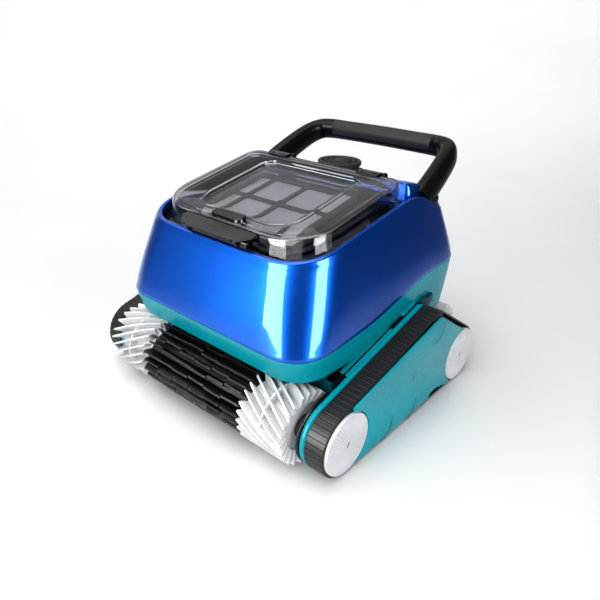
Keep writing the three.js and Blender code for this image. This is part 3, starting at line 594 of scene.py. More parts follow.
def studio():
    world = bpy.data.worlds.new("studio")
    scene.world = world
    world.use_nodes = True
    world.node_tree.nodes["Background"].inputs["Color"].default_value = (0.86, 0.93, 1, 1)
    world.node_tree.nodes["Background"].inputs["Strength"].default_value = 0.10
    body = Vector((0, 0, 0.15))
    level = Vector((0, 0, 0.42))
    panel("strip_front", aside(-10, 0, 1.2) + level, level, 0.78, 0.86, 27, fills=False)
    panel("strip_side", aside(76, 0, 1.2) + level, level, 0.5, 0.8, 15, fills=False)
    panel("fill", aside(20, 28, 1.6), body, 1.0, 1.0, 11, shines=False)
    panel("fill_side", aside(84, 22, 1.7), body, 1.0, 1.0, 8, shines=False)
    panel("overhead", aside(328, 68, 2.4), body, 2.7, 2.7, 60)
    panel("ceiling", aside(233, 44, 2.4), body, 3.2, 1.9, 9, fills=False)
    panel("backdrop", aside(220, 52, 2.2), aside(220, 10, 2.9), 3.0, 1.2, 25)
    scene.view_settings.view_transform = "Standard"
    scene.view_settings.look = "Medium High Contrast"
    radius, rises, around = 1.5, 16, 96
    bowl = [(r, 0) for r in (0.01, 0.3, 0.6, 1.0, 1.5)]
    for i in range(1, rises + 1):
        angle = math.pi / 2 * i / rises
        bowl.append((radius + radius * math.sin(angle), radius - radius * math.cos(angle)))
    turns = [TURN * i / around for i in range(around)]
    rings = [[(r * math.cos(a), r * math.sin(a), z) for a in turns] for r, z in bowl]
    points, faces = skin(rings)
    mesh = bpy.data.meshes.new("floor")
    mesh.from_pydata(points, [], faces[:-1])
    floor = bpy.data.objects.new("floor", mesh)
    scene.collection.objects.link(floor)
    mesh.polygons.foreach_set("use_smooth", [True] * len(mesh.polygons))
    paper = Finish("paper", Specular_IOR_Level=0.3)
    white = paper.ramp(paper.noise(3, 2), (0.3, 0.75), (0.7, 0.78))
    shade = white
    # Painted shade: beyond two lines on the floor, off to the right and towards the front, the paper colour fades
    # to dark grey where the light is meant to fall off.
    for edge, outward, near, far in (((0.505, -0.58, 0), (0.978, 0.212, 0), 0.05, 0.5),
                                     ((0.505, -0.58, 0), (-0.378, -0.926, 0), 0.1, 0.6)):
        moved = paper.node("Mapping", Vector=paper.place, Location=tuple(-v for v in edge)).outputs["Vector"]
        beyond = paper.node("VectorMath", Vector=moved)
        beyond.operation = "DOT_PRODUCT"
        beyond.inputs[1].default_value = outward
        shade = paper.blend(paper.ramp(beyond.outputs["Value"], (near, 0.0), (far, 1.0)), shade,
                            (0.12, 0.13, 0.15))
    mesh.materials.append(paper.use(shade, 0.5))


# ---------------------------------------------------------------- cowl and chassis
def cowl():
    """The painted upper shell: a rounded lower edge, slightly bellied walls and a rolled rim."""
    def wall(t):
        return grown(mixed(HULL, RIM, t), 2.7 * math.sin(math.pi * t ** 0.8))

    def at(t):
        return lambda y: seam(y) + (rim(y) - seam(y)) * t

    hem = 2.4
    rings = [ring(grown(HULL, -3.4), lifted(seam, 0.2))]
    for angle in (0, 22, 45, 68, 90):
        a = math.radians(angle)
        rings.append(ring(grown(HULL, -hem * (1 - math.sin(a))), lifted(seam, hem * (1 - math.cos(a)))))
    rings += [ring(wall(t), at(t)) for t in (0.06, 0.11, 0.18, 0.26, 0.34, 0.42, 0.5, 0.58, 0.66, 0.74,
                                             0.82, 0.89, 0.94)]
    roll = 3.4
    for angle in (0, 20, 40, 60, 80, 90):
        a = math.radians(angle)
        rings.append(ring(grown(RIM, -roll * (1 - math.cos(a))), lifted(rim, roll * (math.sin(a) - 1))))
    inner = 1.4
    for angle in (0, 30, 60, 90):
        a = math.radians(angle)
        rings.append(ring(grown(RIM, -LIP + inner * (1 - math.sin(a))),
                          lifted(rim, inner * (math.cos(a) - 1))))
    rings += [ring(grown(RIM, -LIP), lifted(rim, -5)), ring(grown(RIM, -LIP), lifted(rim, -13)),
              ring(grown(RIM, -4), lifted(rim, -16))]
    rings += [ring(grown(wall(t), -3), at(t)) for t in (0.7, 0.4, 0.12)]
    rings.append(ring(grown(HULL, -3.4), lifted(seam, 3)))
    shell = loft(rings, loops=True)
    gland = low("cable_gland"), high("cable_gland")
    z = (gland[0].z + gland[1].z) / 2
    bore = turned([(0, 0), (8.4, 0), (8.4, 60), (0, 60)], (0, 0, 0), axis="Z", steps=40)
    bore.data.transform(Matrix.Translation((0, (160 + MID_Y) * MM, z * MM))
                        @ Matrix.Rotation(-math.pi / 2, 4, "X")
                        @ Matrix.Translation((0, -MID_Y * MM, 0)))
    cut(shell, bore)
    show(shell, "cowl_shell", "chassis", BLUE, ["cowl"], crease=50)


def chassis():
    """The teal lower shell: its band under the cowl, the step over the brushes and the tub."""
    top = grown(HULL, -0.9)
    foot = STEP_Z + 5

    def wall(t):
        return mixed(top, grown(TUB_LIP, 0.6), t ** 1.35)

    def at(t):
        return lambda y: seam(y) - 0.3 + (foot - seam(y) + 0.3) * t

    edge = 4.6
    rings = [ring(grown(top, -0.7), lifted(seam, -0.3)), ring(top, lifted(seam, -1.0))]
    rings += [ring(wall(t), at(t)) for t in (0.06, 0.15, 0.28, 0.42, 0.56, 0.7, 0.82, 0.92)]
    for angle in (0, 22, 45, 68, 90):
        a = math.radians(angle)
        rings.append(ring(grown(TUB_LIP, 0.6 - edge * (1 - math.cos(a))),
                          level(foot - (foot - STEP_Z) * math.sin(a))))
    rings += [ring(grown(TUB_BOX, 2), level(STEP_Z)), ring(TUB_BOX, level(STEP_Z - 2)),
              ring(TUB_BOX, level(FLOOR_Z + 9))]
    for angle in (30, 60, 90):
        a = math.radians(angle)
        rings.append(ring(grown(TUB_BOX, -8 * (1 - math.cos(a))), level(FLOOR_Z + 9 - 9 * math.sin(a))))
    rings += [ring(grown(TUB_BOX, -8), level(FLOOR_Z + 3)), ring(grown(TUB_BOX, -3), level(FLOOR_Z + 10)),
              ring(grown(TUB_BOX, -3), level(STEP_Z + 3)), ring(grown(TUB_LIP, -6), level(STEP_Z + 3)),
              ring(grown(TUB_LIP, -3), level(STEP_Z + 6)), ring(grown(top, -3), lifted(seam, -0.3))]
    tub = loft(rings)
    slots = [rounded(block(sided((22, 118), side), (-76, -52), (FLOOR_Z - 5, FLOOR_Z + 10)), 3)
             for side, _ in SIDES]
    shafts = [turned([(0, 150), (6, 150), (6, 182), (0, 182)], (0, APEX.y, APEX.z), side) for side,
              _ in SIDES]
    cut(tub, *slots, *shafts)
    show(tub, "chassis_shell", "chassis", TEAL, ["chassis_tub"], crease=38)


# ---------------------------------------------------------------- tracks
def track_line(circles, steps=40):
    """Length, y, z and normal angle along a line wrapped round (y, z, radius) circles, anticlockwise."""
    def normal(a, b):
        reach = math.hypot(b[0] - a[0], b[1] - a[1])
        return math.atan2(b[1] - a[1], b[0] - a[0]) - math.acos((a[2] - b[2]) / reach)

    rows = []
    last = -math.inf
    for i, (y, z, radius) in enumerate(circles):
        start = normal(circles[i - 1], circles[i])
        end = normal(circles[i], circles[(i + 1) % len(circles)])
        while start < last - 1e-9:
            start += TURN
        while end < start:
            end += TURN
        last = end
        for k in range(steps + 1):
            angle = start + (end - start) * k / steps
            rows.append((y + radius * math.cos(angle), z + radius * math.sin(angle), angle))
    rows.append((rows[0][0], rows[0][1], rows[0][2] + TURN))
    rows = np.array(rows)
    lengths = np.concatenate([[0], np.cumsum(np.hypot(np.diff(rows[:, 0]), np.diff(rows[:, 1])))])
    return lengths, rows[:, 0], rows[:, 1], rows[:, 2]


def belt_circles(shrink):
    return [(WHEEL.y, WHEEL.z, TRACK_R - shrink), (APEX.y, APEX.z, APEX_R - shrink),
            (-WHEEL.y, WHEEL.z, TRACK_R - shrink)]


TRACK = track_line(belt_circles(0))


def on_track(s, depth):
    """The point that is depth inside the belt's outer line, at a length along it."""
    s = s % TRACK[0][-1]
    y, z, angle = (float(np.interp(s, TRACK[0], column)) for column in TRACK[1:])
    return y - depth * math.cos(angle), z - depth * math.sin(angle)


def track_outline(shrink, steps=24):
    return list(zip(*track_line(belt_circles(shrink), steps)[1:3]))[:-1]


def belt(side, word):
    """A ribbed belt: flat pads with a narrow groove between them, and shouldered edges."""
    pads = round(TRACK[0][-1] / 7.9)
    pitch = TRACK[0][-1] / pads
    groove = 1.0
    tread = ((0.0, groove), (0.055, groove), (0.085, 0.2), (0.12, 0.0), (0.34, 0.0), (0.5, 0.0), (0.66, 0.0),
             (0.88, 0.0), (0.915, 0.2), (0.945, groove))
    x0, x1 = BELT_X
    rings = []
    for pad in range(pads):
        for share, depth in tread:
            s = (pad + share) * pitch
            section = ((x0, 1.5), (x0 + 0.25, depth + 0.5), (x0 + 1.0, depth), (x1 - 1.0, depth),
                       (x1 - 0.25, depth + 0.5), (x1, 1.5), (x1, BELT_THICK), (x0, BELT_THICK))
            rings.append([(side * x, *on_track(s, d)) for x, d in section])
    show(loft(rings, loops=True), f"ribbed_belt_{word}", "chassis", BELT, [f"track_belt_{word}"],
         30)


def side_plate(side, word):
    """The teal plate inside the belt, with a full round rim, and the black bumper strip beside it."""
    x0, x1 = PLATE_X
    plate = rounded(prism(track_outline(1.0), sided((x0, x1), side)), 4.2, 6, angle=60)
    pocket = prism(track_outline(7), sided((x0 + 3.5, x1 + 1), side))
    holes = [turned([(0, x0 - 2), (r, x0 - 2), (r, x1 + 1), (0, x1 + 1)], (0, y, z), side, steps=32)
             for y, z, r in ((-WHEEL.y, WHEEL.z, 5.3), (WHEEL.y, WHEEL.z, 5.3), (APEX.y, APEX.z, 5),
                             (-BRUSH.y, BRUSH.z, 5.5), (BRUSH.y, BRUSH.z, 5.5))]
    cut(plate, pocket, *holes)
    show(plate, f"side_plate_{word}", "chassis", TEAL, [f"inner_side_plate_{word}"], 30)
    bosses = [rounded(turned([(0, 158.3), (8, 158.3), (8, x0 - 0.2), (0, x0 - 0.2)], (0, y, z), side), 0.8, 2)
              for y, z in ((-70, 62), (0, 88), (70, 62))]
    show(gather(bosses), f"plate_bosses_{word}", "chassis", TEAL)
    x = (168.6, x0 - 0.3)
    middle, half = sum(x) / 2, (x[1] - x[0]) / 2
    length = TRACK[0][-1]
    top = length * 0.5
    start = min((s for s in np.linspace(top, length, 400)), key=lambda s: abs(on_track(s, 0)[0] + 96) + (
        0 if on_track(s, 0)[1] > 60 else 500))
    stop = length + min((s for s in np.linspace(0, top, 400)), key=lambda s: abs(on_track(s, 0)[1] - 96))
    rings = [[(side * (middle + half * math.cos(TURN * k / 16)),
               *on_track(s, 4.2 + 3.4 * math.sin(TURN * k / 16))) for k in range(16)]
             for s in np.linspace(start, stop, 150)]
    show(loft(rings), f"bumper_strip_{word}", "chassis", GLOSS_BLACK)


def ledge(side, word):
    """The running board that closes the gap between the hull and the plate, with its clip."""
    length = TRACK[0][-1]
    front = min(np.linspace(length * 0.4, length, 500), key=lambda s: abs(on_track(s, 0)[0] + 96) + (
        0 if on_track(s, 0)[1] > 60 else 500))
    back = min(np.linspace(0, length * 0.8, 500), key=lambda s: abs(on_track(s, 0)[0] - 2) + (
        0 if on_track(s, 0)[1] > 60 else 500))
    section = ((162, 5.2), (162, 1.4), (174.5, 1.4), (176.5, 2.4), (176.5, 5.2))
    rings = [[(side * x, *on_track(s, d)) for x, d in section] for s in np.linspace(back, front, 60)]
    board = rounded(loft(rings), 1.0, 3)
    show(board, f"running_board_{word}", "chassis", TEAL, crease=35)
    wedge = rounded(prism([(-108, 90), (-97, 100), (-86, 102), (-92, 93)], sided((152, 171.5), side)), 1, 2)
    show(wedge, f"corner_wedge_{word}", "chassis", GLOSS_BLACK)
    step = rounded(prism([(30, 122), (30, 137), (44, 140), (60, 146), (60, 126)],
                         sided((162, 172.5), side)), 1.2, 3)
    show(step, f"ledge_step_{word}", "chassis", TEAL)
    clip = rounded(prism([(74, 126), (76, 140), (84, 146), (92, 141), (104, 145), (108, 132), (96, 128)],
                         sided((166, 174.5), side)), 1.2, 3)
    show(clip, f"hose_clip_{word}", "chassis", DARK_TEAL)


def mark(points, width, side):
    """A flat darker crescent set into the side cover's face, along a curve through (y, z) points: painted shade
    standing in for a moulded groove.
    """
    line = spline(points, 24)
    rings = []
    for i, (y, z) in enumerate(line):
        ahead = line[min(i + 1, 24)] - line[max(i - 1, 0)]
        across = np.array([-ahead[1], ahead[0]]) / np.hypot(*ahead)
        swell = max(math.sin(math.pi * min(max(i / 24, 0.04), 0.96)) ** 0.6, 0.2)
        rings.append([(side * (COVER_X[1] - 0.55 + 0.62 * u), y + across[0] * width / 2 * v * swell,
                       z + across[1] * width / 2 * v * swell)
                      for u, v in ((-1, -1), (0.9, -1), (1, -0.9), (1, 0.9), (0.9, 1), (-1, 1))])
    return loft(rings)


def side_cover(side, word):
    """The flat outer cover with its cut-outs for the hub caps, and flat darker crescents painted as the shade of
    its moulded grooves.
    """
    circles = [(WHEEL.y, WHEEL.z, 36.5), (APEX.y, APEX.z + 3.4, 5.5), (-WHEEL.y, WHEEL.z + 2, TRACK_R - 3.2)]
    shape = list(zip(*track_line(circles, 24)[1:3]))[:-1]
    cover = prism(shape, sided(COVER_X, side))
    span = (COVER_X[0] - 2, COVER_X[1] + 2)
    rooms = [turned([(0, span[0]), (CAP_R + 1.3, span[0]), (CAP_R + 1.3, span[1]), (0, span[1])],
                    (0, end * WHEEL.y, WHEEL.z), side, steps=128) for end, _ in ENDS]
    notch = prism([(46, -5), (58, 13), (64, 15.5), (82, 15.5), (84, 12), (96, 12), (108, -5)],
                  sided(span, side))
    front = block(sided(span, side), (-190, -131), (-5, 120))
    cut(cover, *rooms, notch, front)
    rounded(cover, 0.7, 3)
    arcs = (((70, 126), (73, 117), (69, 107), (60, 101), (46, 100)),
            ((15, 31), (15, 20), (11, 11), (2, 6), (-8, 6)),
            ((-43, 34), (-43, 22), (-47, 12), (-55, 6), (-67, 5)), ((3, 75), (2.4, 67), (1, 60)))
    # Painted shade: flat darker crescents in place of the shaded moulded grooves.
    groove_shades = [mark(points, width, side) for points, width in zip(arcs, (5.5, 5.5, 6.5, 4.2))]
    show(gather(groove_shades), f"cover_groove_shade_{word}", "chassis", GROOVE_SHADE_TEAL)
    show(cover, f"outer_cover_{word}", "chassis", TEAL, [f"side_cover_{word}"], 32)


def hub_cap(side, word, end, place):
    """A pale cap: domed, fluted towards its rim, with a slot at its centre."""
    def flutes(radius, angle):
        reach = max(0.0, math.sin(math.pi * min(max((radius - 19) / 19.5, 0), 1)))
        return 0.42 * reach * math.cos(44 * angle)

    x0, x1 = CAP_X
    profile = [(0, x0), (CAP_R, x0), (CAP_R, x1 - 2.0), (CAP_R - 0.4, x1 - 1.1), (CAP_R - 1.3, x1 - 0.65),
               (CAP_R - 2.2, x1 - 0.6)] + [(r, x1 - 0.62 + 0.17 * (1 - r / 38))
                                           for r in np.linspace(37, 17, 12)]
    profile += [(12, x1 - 0.42), (8, x1 - 0.4), (0, x1 - 0.4)]
    at = (0, end * WHEEL.y, WHEEL.z)
    cap = turned(profile, at, side, steps=264, ripple=lambda r, a: flutes(r, a) - 0.3 if 19 < r < 38.4 else 0)
    long, short = 4.0, 1.5
    tilt = math.radians(62)
    corners = [(u * long * math.cos(tilt) - v * short * math.sin(tilt) + at[1],
                u * long * math.sin(tilt) + v * short * math.cos(tilt) + at[2])
               for u, v in ((-1, -1), (1, -1), (1, 1), (-1, 1))]
    cut(cap, prism(corners, sided((x1 - 3, x1 + 1), side)))
    body = f"{place}_{word}_wheel"
    show(cap, f"cap_{place}_{word}", body, GREY, [f"hub_cap_{place}_{word}"], 50)
    # Painted shade: a black piece at the bottom of the slot gives the darkness of the hole.
    key = prism(corners, sided((x1 - 2.9, x1 - 1.0), side))
    show(key, f"cap_slot_shade_{place}_{word}", body, SATIN_BLACK)


# ---------------------------------------------------------------- brush rollers
def flap(rng, y, z, angle, x, tip, thick, twist=0.0, skew=0.0, curl=0.0, steps=10, rows=5):
    """One flexible blade: a thin curved plate that stands on the roller and tapers to its tip."""
    x0, x1 = x
    lean = rng.uniform(-0.03, 0.03)
    wave = rng.uniform(0, TURN)
    rings = []
    for i in range(steps + 1):
        u = i / steps
        near, far = [], []
        for k in range(rows + 1):
            v = k / rows
            radius = ROOT_R - 1.2 + (tip - ROOT_R + 1.2) * v
            half = thick * (1 - 0.4 * v) / 2
            a = angle + twist * u + (curl + lean) * v * v + 0.006 * v * math.sin(wave + 5 * u)
            px = x0 + (x1 - x0) * u + skew * v * (1 if x1 > x0 else -1) * (2 * u - 1)
            c, s = math.cos(a), math.sin(a)
            near.append((px, y + radius * c - half * s, z + radius * s + half * c))
            far.append((px, y + radius * c + half * s, z + radius * s - half * c))
        rings.append(near + far[::-1])
    return loft(rings)


def brush(end, place):
    """A roller with black cleaning flaps in the middle and slanted white vinyl blades at both ends."""
    rng = random.Random(11 + end)
    y, z = end * BRUSH.y, BRUSH.z
    body = f"{place}_brush"
    inner, outer = BLADE_HALF, BRUSH_HALF

    def tube(x0, x1, radius):
        return turned([(CORE_R, x0), (radius - 0.6, x0), (radius, x0 + 0.6), (radius, x1 - 0.6),
                       (radius - 0.6, x1), (CORE_R, x1)], (0, y, z), steps=64)

    parts = [tube(-inner, inner, ROOT_R + 1)]
    for row in range(BRUSH_ROWS):
        angle = TURN * row / BRUSH_ROWS
        count = 6
        first = -inner + (row % 2) * rng.uniform(0, 5)
        pitch = (inner - (row % 3 == 0) * rng.uniform(0, 4) - first) / count
        for k in range(count):
            x = (first + k * pitch + 0.5, first + (k + 1) * pitch - 0.5)
            parts.append(flap(rng, y, z, angle + rng.uniform(-0.03, 0.03), x,
                              BRUSH_R - rng.uniform(0.8, 2.2), 4.4,
                              skew=rng.uniform(-0.6, 0.4), curl=-end * rng.uniform(0.0, 0.12), steps=6))
    show(gather(parts), f"flap_roller_{place}", body, BLADE, [f"{place}_brush_blades"], 35)
    for side, word in SIDES:
        parts = [tube(*sided((inner + 0.3, outer - 6), side), ROOT_R)]
        for row in range(BRUSH_ROWS):
            parts.append(flap(rng, y, z, TURN * (row + 0.5) / BRUSH_ROWS,
                              (side * (inner + 5), side * (outer - 3.5)),
                              BRUSH_R - 0.4, 4.2, twist=end * -0.85, skew=4.5, curl=rng.uniform(-0.02, 0.02),
                              steps=16, rows=6))
        web = sided(((inner + outer) / 2 - 1.1, (inner + outer) / 2 + 1.1), side)
        parts.append(rounded(turned([(ROOT_R - 1, web[0]), (BRUSH_R - 4, web[0]), (BRUSH_R - 4, web[1]),
                                     (ROOT_R - 1, web[1])], (0, y, z), steps=72), 0.5, 2))
        show(gather(parts), f"vinyl_sleeve_{place}_{word}", body, WHITE, [f"{place}_brush_sleeve_{word}"],
             40)
        hub = [(y + 13 * math.cos(TURN * k / 6), z + 13 * math.sin(TURN * k / 6)) for k in range(6)]
        collar = rounded(prism(hub, sided((outer + 0.2, outer + 1.9), side)), 0.5, 2)
        show(collar, f"end_collar_{place}_{word}", body, GREY)


# ---------------------------------------------------------------- handle and rear deck
HANDLE = [(139, 96, 273), (138.5, 118, 285), (134, 156, 304), (128, 184, 317), (117, 201, 324),
          (98, 207, 326),
          (60, 208, 326.5), (0, 208, 327)]
HANDLE_TALL = (19, 18.5, 17.5, 16.5, 15.5, 15, 14.5, 14.5)
HANDLE_WIDE = (13, 13, 13, 13, 13, 12.8, 12.8, 12.8)
HANDLE_UP = Vector((0, -0.42, 0.9)).normalized()
GRIP_HALF = 97


def handle_stations(count=132):
    """Centre, directions and half sizes along the whole handle."""
    route = HANDLE + [(-x, y, z) for x, y, z in HANDLE[-2::-1]]
    sizes = list(zip(HANDLE_TALL, HANDLE_WIDE))
    sizes += sizes[-2::-1]
    line = spline([(*p, *size) for p, size in zip(route, sizes)], count)
    found = []
    for i, row in enumerate(line):
        ahead = Vector(line[min(i + 1, count)][:3]) - Vector(line[max(i - 1, 0)][:3])
        ahead.normalize()
        across = ahead.cross(HANDLE_UP).normalized()
        found.append((Vector(row[:3]), across, across.cross(ahead).normalized(), row[3], row[4]))
    return found


def section(station, depth=0.0, squareness=2.7, steps=48, span=(0, TURN)):
    """A rounded-square ring round a handle station, depth inside its surface."""
    middle, across, up, tall, wide = station
    ring_points = []
    for k in range(steps):
        angle = span[0] + (span[1] - span[0]) * k / (steps if span[1] - span[0] == TURN else steps - 1)
        c, s = math.cos(angle), math.sin(angle)
        scale = (abs(c) ** squareness + abs(s) ** squareness) ** (-1 / squareness)
        inward = depth(angle) if callable(depth) else depth
        ring_points.append(tuple(middle + across * c * scale * (wide - inward)
                                 + up * s * scale * (tall - inward)))
    return ring_points


def handle():
    """The carry handle: a moulded bow with a soft grip let into the front of its bar."""
    grip = (math.radians(52), math.radians(196))
    groove_depth = 1.5

    def depth_at(x):
        near = min(max((GRIP_HALF - abs(x)) / 3.0, 0), 1)

        def depth(angle):
            inside = min(angle - grip[0], grip[1] - angle) / 0.14
            return groove_depth * near * min(max(inside, 0), 1)
        return depth

    stations = handle_stations()
    bow = loft([section(s, depth_at(s[0].x)) for s in stations])
    show(bow, "carry_handle", "chassis", SATIN_BLACK, ["handle"], 50)
    inner = [s for s in stations if abs(s[0].x) < GRIP_HALF - 2.6]
    rings = []
    for i, station in enumerate(inner):
        edge = min(i, len(inner) - 1 - i)
        proud = 0.3 if edge >= 2 else (0.9, 0.45)[edge]
        face = section(station, proud, steps=26, span=(grip[0] + 0.13, grip[1] - 0.13))
        back = section(station, groove_depth + 0.9, steps=26, span=(grip[0] + 0.15, grip[1] - 0.15))
        rings.append(face + back[::-1])
    pad = rounded(loft(rings), 0.35, 2, angle=50)
    show(pad, "grip_pad", "chassis", MATT_BLACK, ["handle_grip"], 50)
    for side, word in SIDES:
        base = rounded(prism([(x * side, y) for x,
                              y in ((119, 84), (152, 84), (152, 128), (138, 146), (121, 138))],
                             (262, 277), axis="Z"), 3, 4)
        show(base, f"handle_foot_{word}", "chassis", GLOSS_BLACK)


def rear_deck():
    """The blue deck behind the lid, its outlet seat and the hinge ears."""
    foot = grown(DECK, 5)._replace(front=DECK.front)
    crown = grown(DECK, -3)._replace(front=DECK.front + 2)
    top = Plan(DECK.half - 60, DECK.front + 14, DECK.rear - 20, 1, 1)
    corner = {"corner": 10, "side": 16, "end": 10}

    def shoulder(y):
        return min(rim(y) + 1, 284)

    rings = [ring(foot, lambda y: min(rim(y) - 12, 268), **corner), ring(foot, shoulder, **corner)]
    for share in (0.08, 0.25, 0.5, 0.75, 1.0):
        bend = math.sin(share * math.pi / 2)
        plan = mixed(foot, crown, 1 - math.cos(share * math.pi / 2) ** 0.9 if share < 1 else 1)
        rings.append(ring(plan._replace(front=DECK.front + 2 * share),
                          lambda y, b=bend: shoulder(y) + (deck_top(y) - shoulder(y)) * b, **corner))
    rings += [ring(mixed(crown, top, t), deck_top, **corner) for t in (0.25, 0.5, 0.75, 1)]
    deck = loft(rings)
    hollow = loft([ring(grown(foot, -3)._replace(front=DECK.front + 3), level(230), **corner),
                   ring(grown(foot, -3)._replace(front=DECK.front + 3), lifted(shoulder, -5), **corner),
                   ring(grown(top, 20), lifted(deck_top, -4), **corner)])
    outlet_room = turned([(0, 200), (30.3, 200), (30.3, 299.2), (32.8, 299.2), (32.8, 330), (0, 330)],
                         (OUTLET.x, OUTLET.y, 0), axis="Z", steps=96)
    rooms = [block(sided((63, 99), side), (50, HINGE.y + 5.5), (300.3, 320)) for side, _ in SIDES]
    cut(deck, hollow, outlet_room, *rooms)
    rounded(deck, 0.8, 3, angle=50)
    show(deck, "deck_shell", "chassis", BLUE, ["rear_deck"], 42)
    ears = []
    for side, _ in SIDES:
        for x in (59, 99):
            shape = [(HINGE.y - 2, 296), (HINGE.y + 6, 296), (HINGE.y + 6, HINGE.z)]
            shape += [(HINGE.y + 1.4 + 4.2 * math.cos(a), HINGE.z + 3.6 * math.sin(a))
                      for a in (math.pi * k / 10 for k in range(1, 10))] + [(HINGE.y - 2.6, HINGE.z)]
            ears.append(rounded(prism(shape, sided((x, x + 4), side)), 0.5, 2))
    show(gather(ears), "hinge_ears", "chassis", SATIN_BLACK)


def outlet():
    """The water outlet's cap: a rim, concentric rings and spokes over the impeller."""
    at = (OUTLET.x, OUTLET.y, 0)
    top = high("outlet_grille").z
    z = top - 6.7

    def hoop(r0, r1, lower, upper, edge=0.6):
        return turned([(r0, lower), (r1, lower), (r1, upper - edge), (r1 - edge, upper), (r0 + edge, upper),
                       (r0, upper - edge)], at, axis="Z", steps=96)

    parts = [hoop(26.5, 32, z, top - 1.2, 1.2), hoop(19.5, 22.2, z + 2.2, top - 0.4),
             hoop(12.8, 15.4, z + 2.2, top),
             turned([(0, z + 1.6), (8, z + 1.6), (8, top - 0.9), (6.6, top), (0, top - 0.3)], at, axis="Z",
                    steps=48)]
    for k in range(12):
        spoke = block((6.5, 27.5), (-1.0, 1.0), (z + 2.4, top - 1.1))
        spoke.data.transform(Matrix.Translation((0, (OUTLET.y + MID_Y) * MM, 0))
                             @ Matrix.Rotation(TURN * k / 12, 4, "Z")
                             @ Matrix.Translation((0, -MID_Y * MM, 0)))
        parts.append(spoke)
    show(gather(parts), "outlet_cap", "chassis", GREY_BLACK, ["outlet_grille"])


def cable_inlet():
    """The strain-relief gland in the cowl's rear wall."""
    lowest, highest = low("cable_gland"), high("cable_gland")
    z = (lowest.z + highest.z) / 2
    profile = [(4, 0), (7.8, 0), (8, 0.6), (8, 13), (9.6, 13.6), (9.6, 15.4), (8.2, 16)]
    for k in range(3):
        start = 17 + 3 * k
        profile += [(7.4 - 0.5 * k, start), (6.3 - 0.5 * k, start + 0.8), (6.3 - 0.5 * k, start + 1.8),
                    (7.0 - 0.5 * k, start + 2.4)]
    profile += [(5.4, 26), (4, 26)]
    gland = turned(profile, (0, 0, 0), axis="Z", steps=40)
    gland.data.transform(Matrix.Translation((0, (lowest.y + MID_Y) * MM, z * MM))
                         @ Matrix.Rotation(-math.pi / 2, 4, "X")
                         @ Matrix.Translation((0, -MID_Y * MM, 0)))
    show(gland, "strain_relief", "chassis", SATIN_BLACK, ["cable_gland"], 30)


# ---------------------------------------------------------------- filter bay
def filter_bay():
    """The black tray under the lid, the basket in it, and the ribbed panel over the screen."""
    well = grown(BASKET, 1.5)
    tray = loft([ring(well, lid_plane(LEDGE)), ring(TRAY, lid_plane(LEDGE)), ring(TRAY, lid_plane(LEDGE + 3)),
                 ring(grown(well, 2.5), lid_plane(LEDGE + 3)), ring(grown(well, 2.5), level(150)),
                 ring(well, level(150))], loops=True)
    show(rounded(tray, 0.6, 2, 60), "bay_tray", "chassis", GLOSS_BLACK, ["filter_bay"])
    sump = BASKET._replace(front=-96)
    wall = 2.5
    basket = loft([ring(sump, level(62)), ring(sump, level(116)), ring(BASKET, level(126)),
                   ring(BASKET, lid_plane(LEDGE - 0.3)), ring(grown(BASKET, 12), lid_plane(LEDGE - 0.3)),
                   ring(grown(BASKET, 12), lid_plane(LEDGE - 3)),
                   ring(grown(BASKET, -wall), lid_plane(LEDGE - 3)),
                   ring(grown(BASKET, -wall), level(127)), ring(grown(sump, -wall), level(117)),
                   ring(grown(sump, -wall), level(64.5))])
    cut(basket, *[block(sided((16, 78), side), (-88, -42), (40, 80)) for side, _ in SIDES])
    show(rounded(basket, 0.5, 2, 60), "basket_shell", "chassis", GLOSS_BLACK, ["filter_basket"])

    frame_plan = grown(BASKET, -0.4)
    panel_form = loft([ring(frame_plan, lid_plane(drop)) for drop in PANEL_DROPS])
    half, edge = 3.1, 10
    ribs = [x + s * half for x in PANEL_COLUMNS for s in (-1, 1)]
    xs = [edge - frame_plan.half, *ribs, frame_plan.half - edge]
    ys = [frame_plan.front + edge, PANEL_ROW - half, PANEL_ROW + half, frame_plan.rear - 5]
    holes = []
    for i in range(0, len(xs), 2):
        for j in range(0, len(ys), 2):
            if ys[j + 1] - ys[j] > 6:
                hole = Plan((xs[i + 1] - xs[i]) / 2, ys[j], ys[j + 1], 4, 4)
                middle = (xs[i + 1] + xs[i]) / 2
                shape = [(x + middle, y) for x, y in outline(hole, corner=5, side=2, end=2)]
                holes.append(prism(shape, (200, 320), axis="Z"))
    cut(panel_form, *holes)
    show(rounded(panel_form, 0.5, 2), "ribbed_panel", "chassis", GREY_BLACK, ["filter_grid"])
    screen = loft([ring(grown(BASKET, -3), lid_plane(drop)) for drop in SCREEN_DROPS])
    show(rounded(screen, 0.4, 2), "screen_panel", "chassis", SCREEN, ["filter_screen"])
    knob_y, knob_z = centre("grid_screw").y, low("grid_screw").z
    knob = turned([(0, -1.2), (6, -1.2), (6.2, 0.2), (5.6, 0.9), (4.6, 1.0), (4.3, 2.3), (3.4, 2.6),
                   (2.4, 2.2), (1.6, 1.2), (0, 1.1)], (0, knob_y, knob_z), axis="Z", steps=40)
    show(knob, "panel_knob", "chassis", SATIN_BLACK, ["grid_screw"], 30)


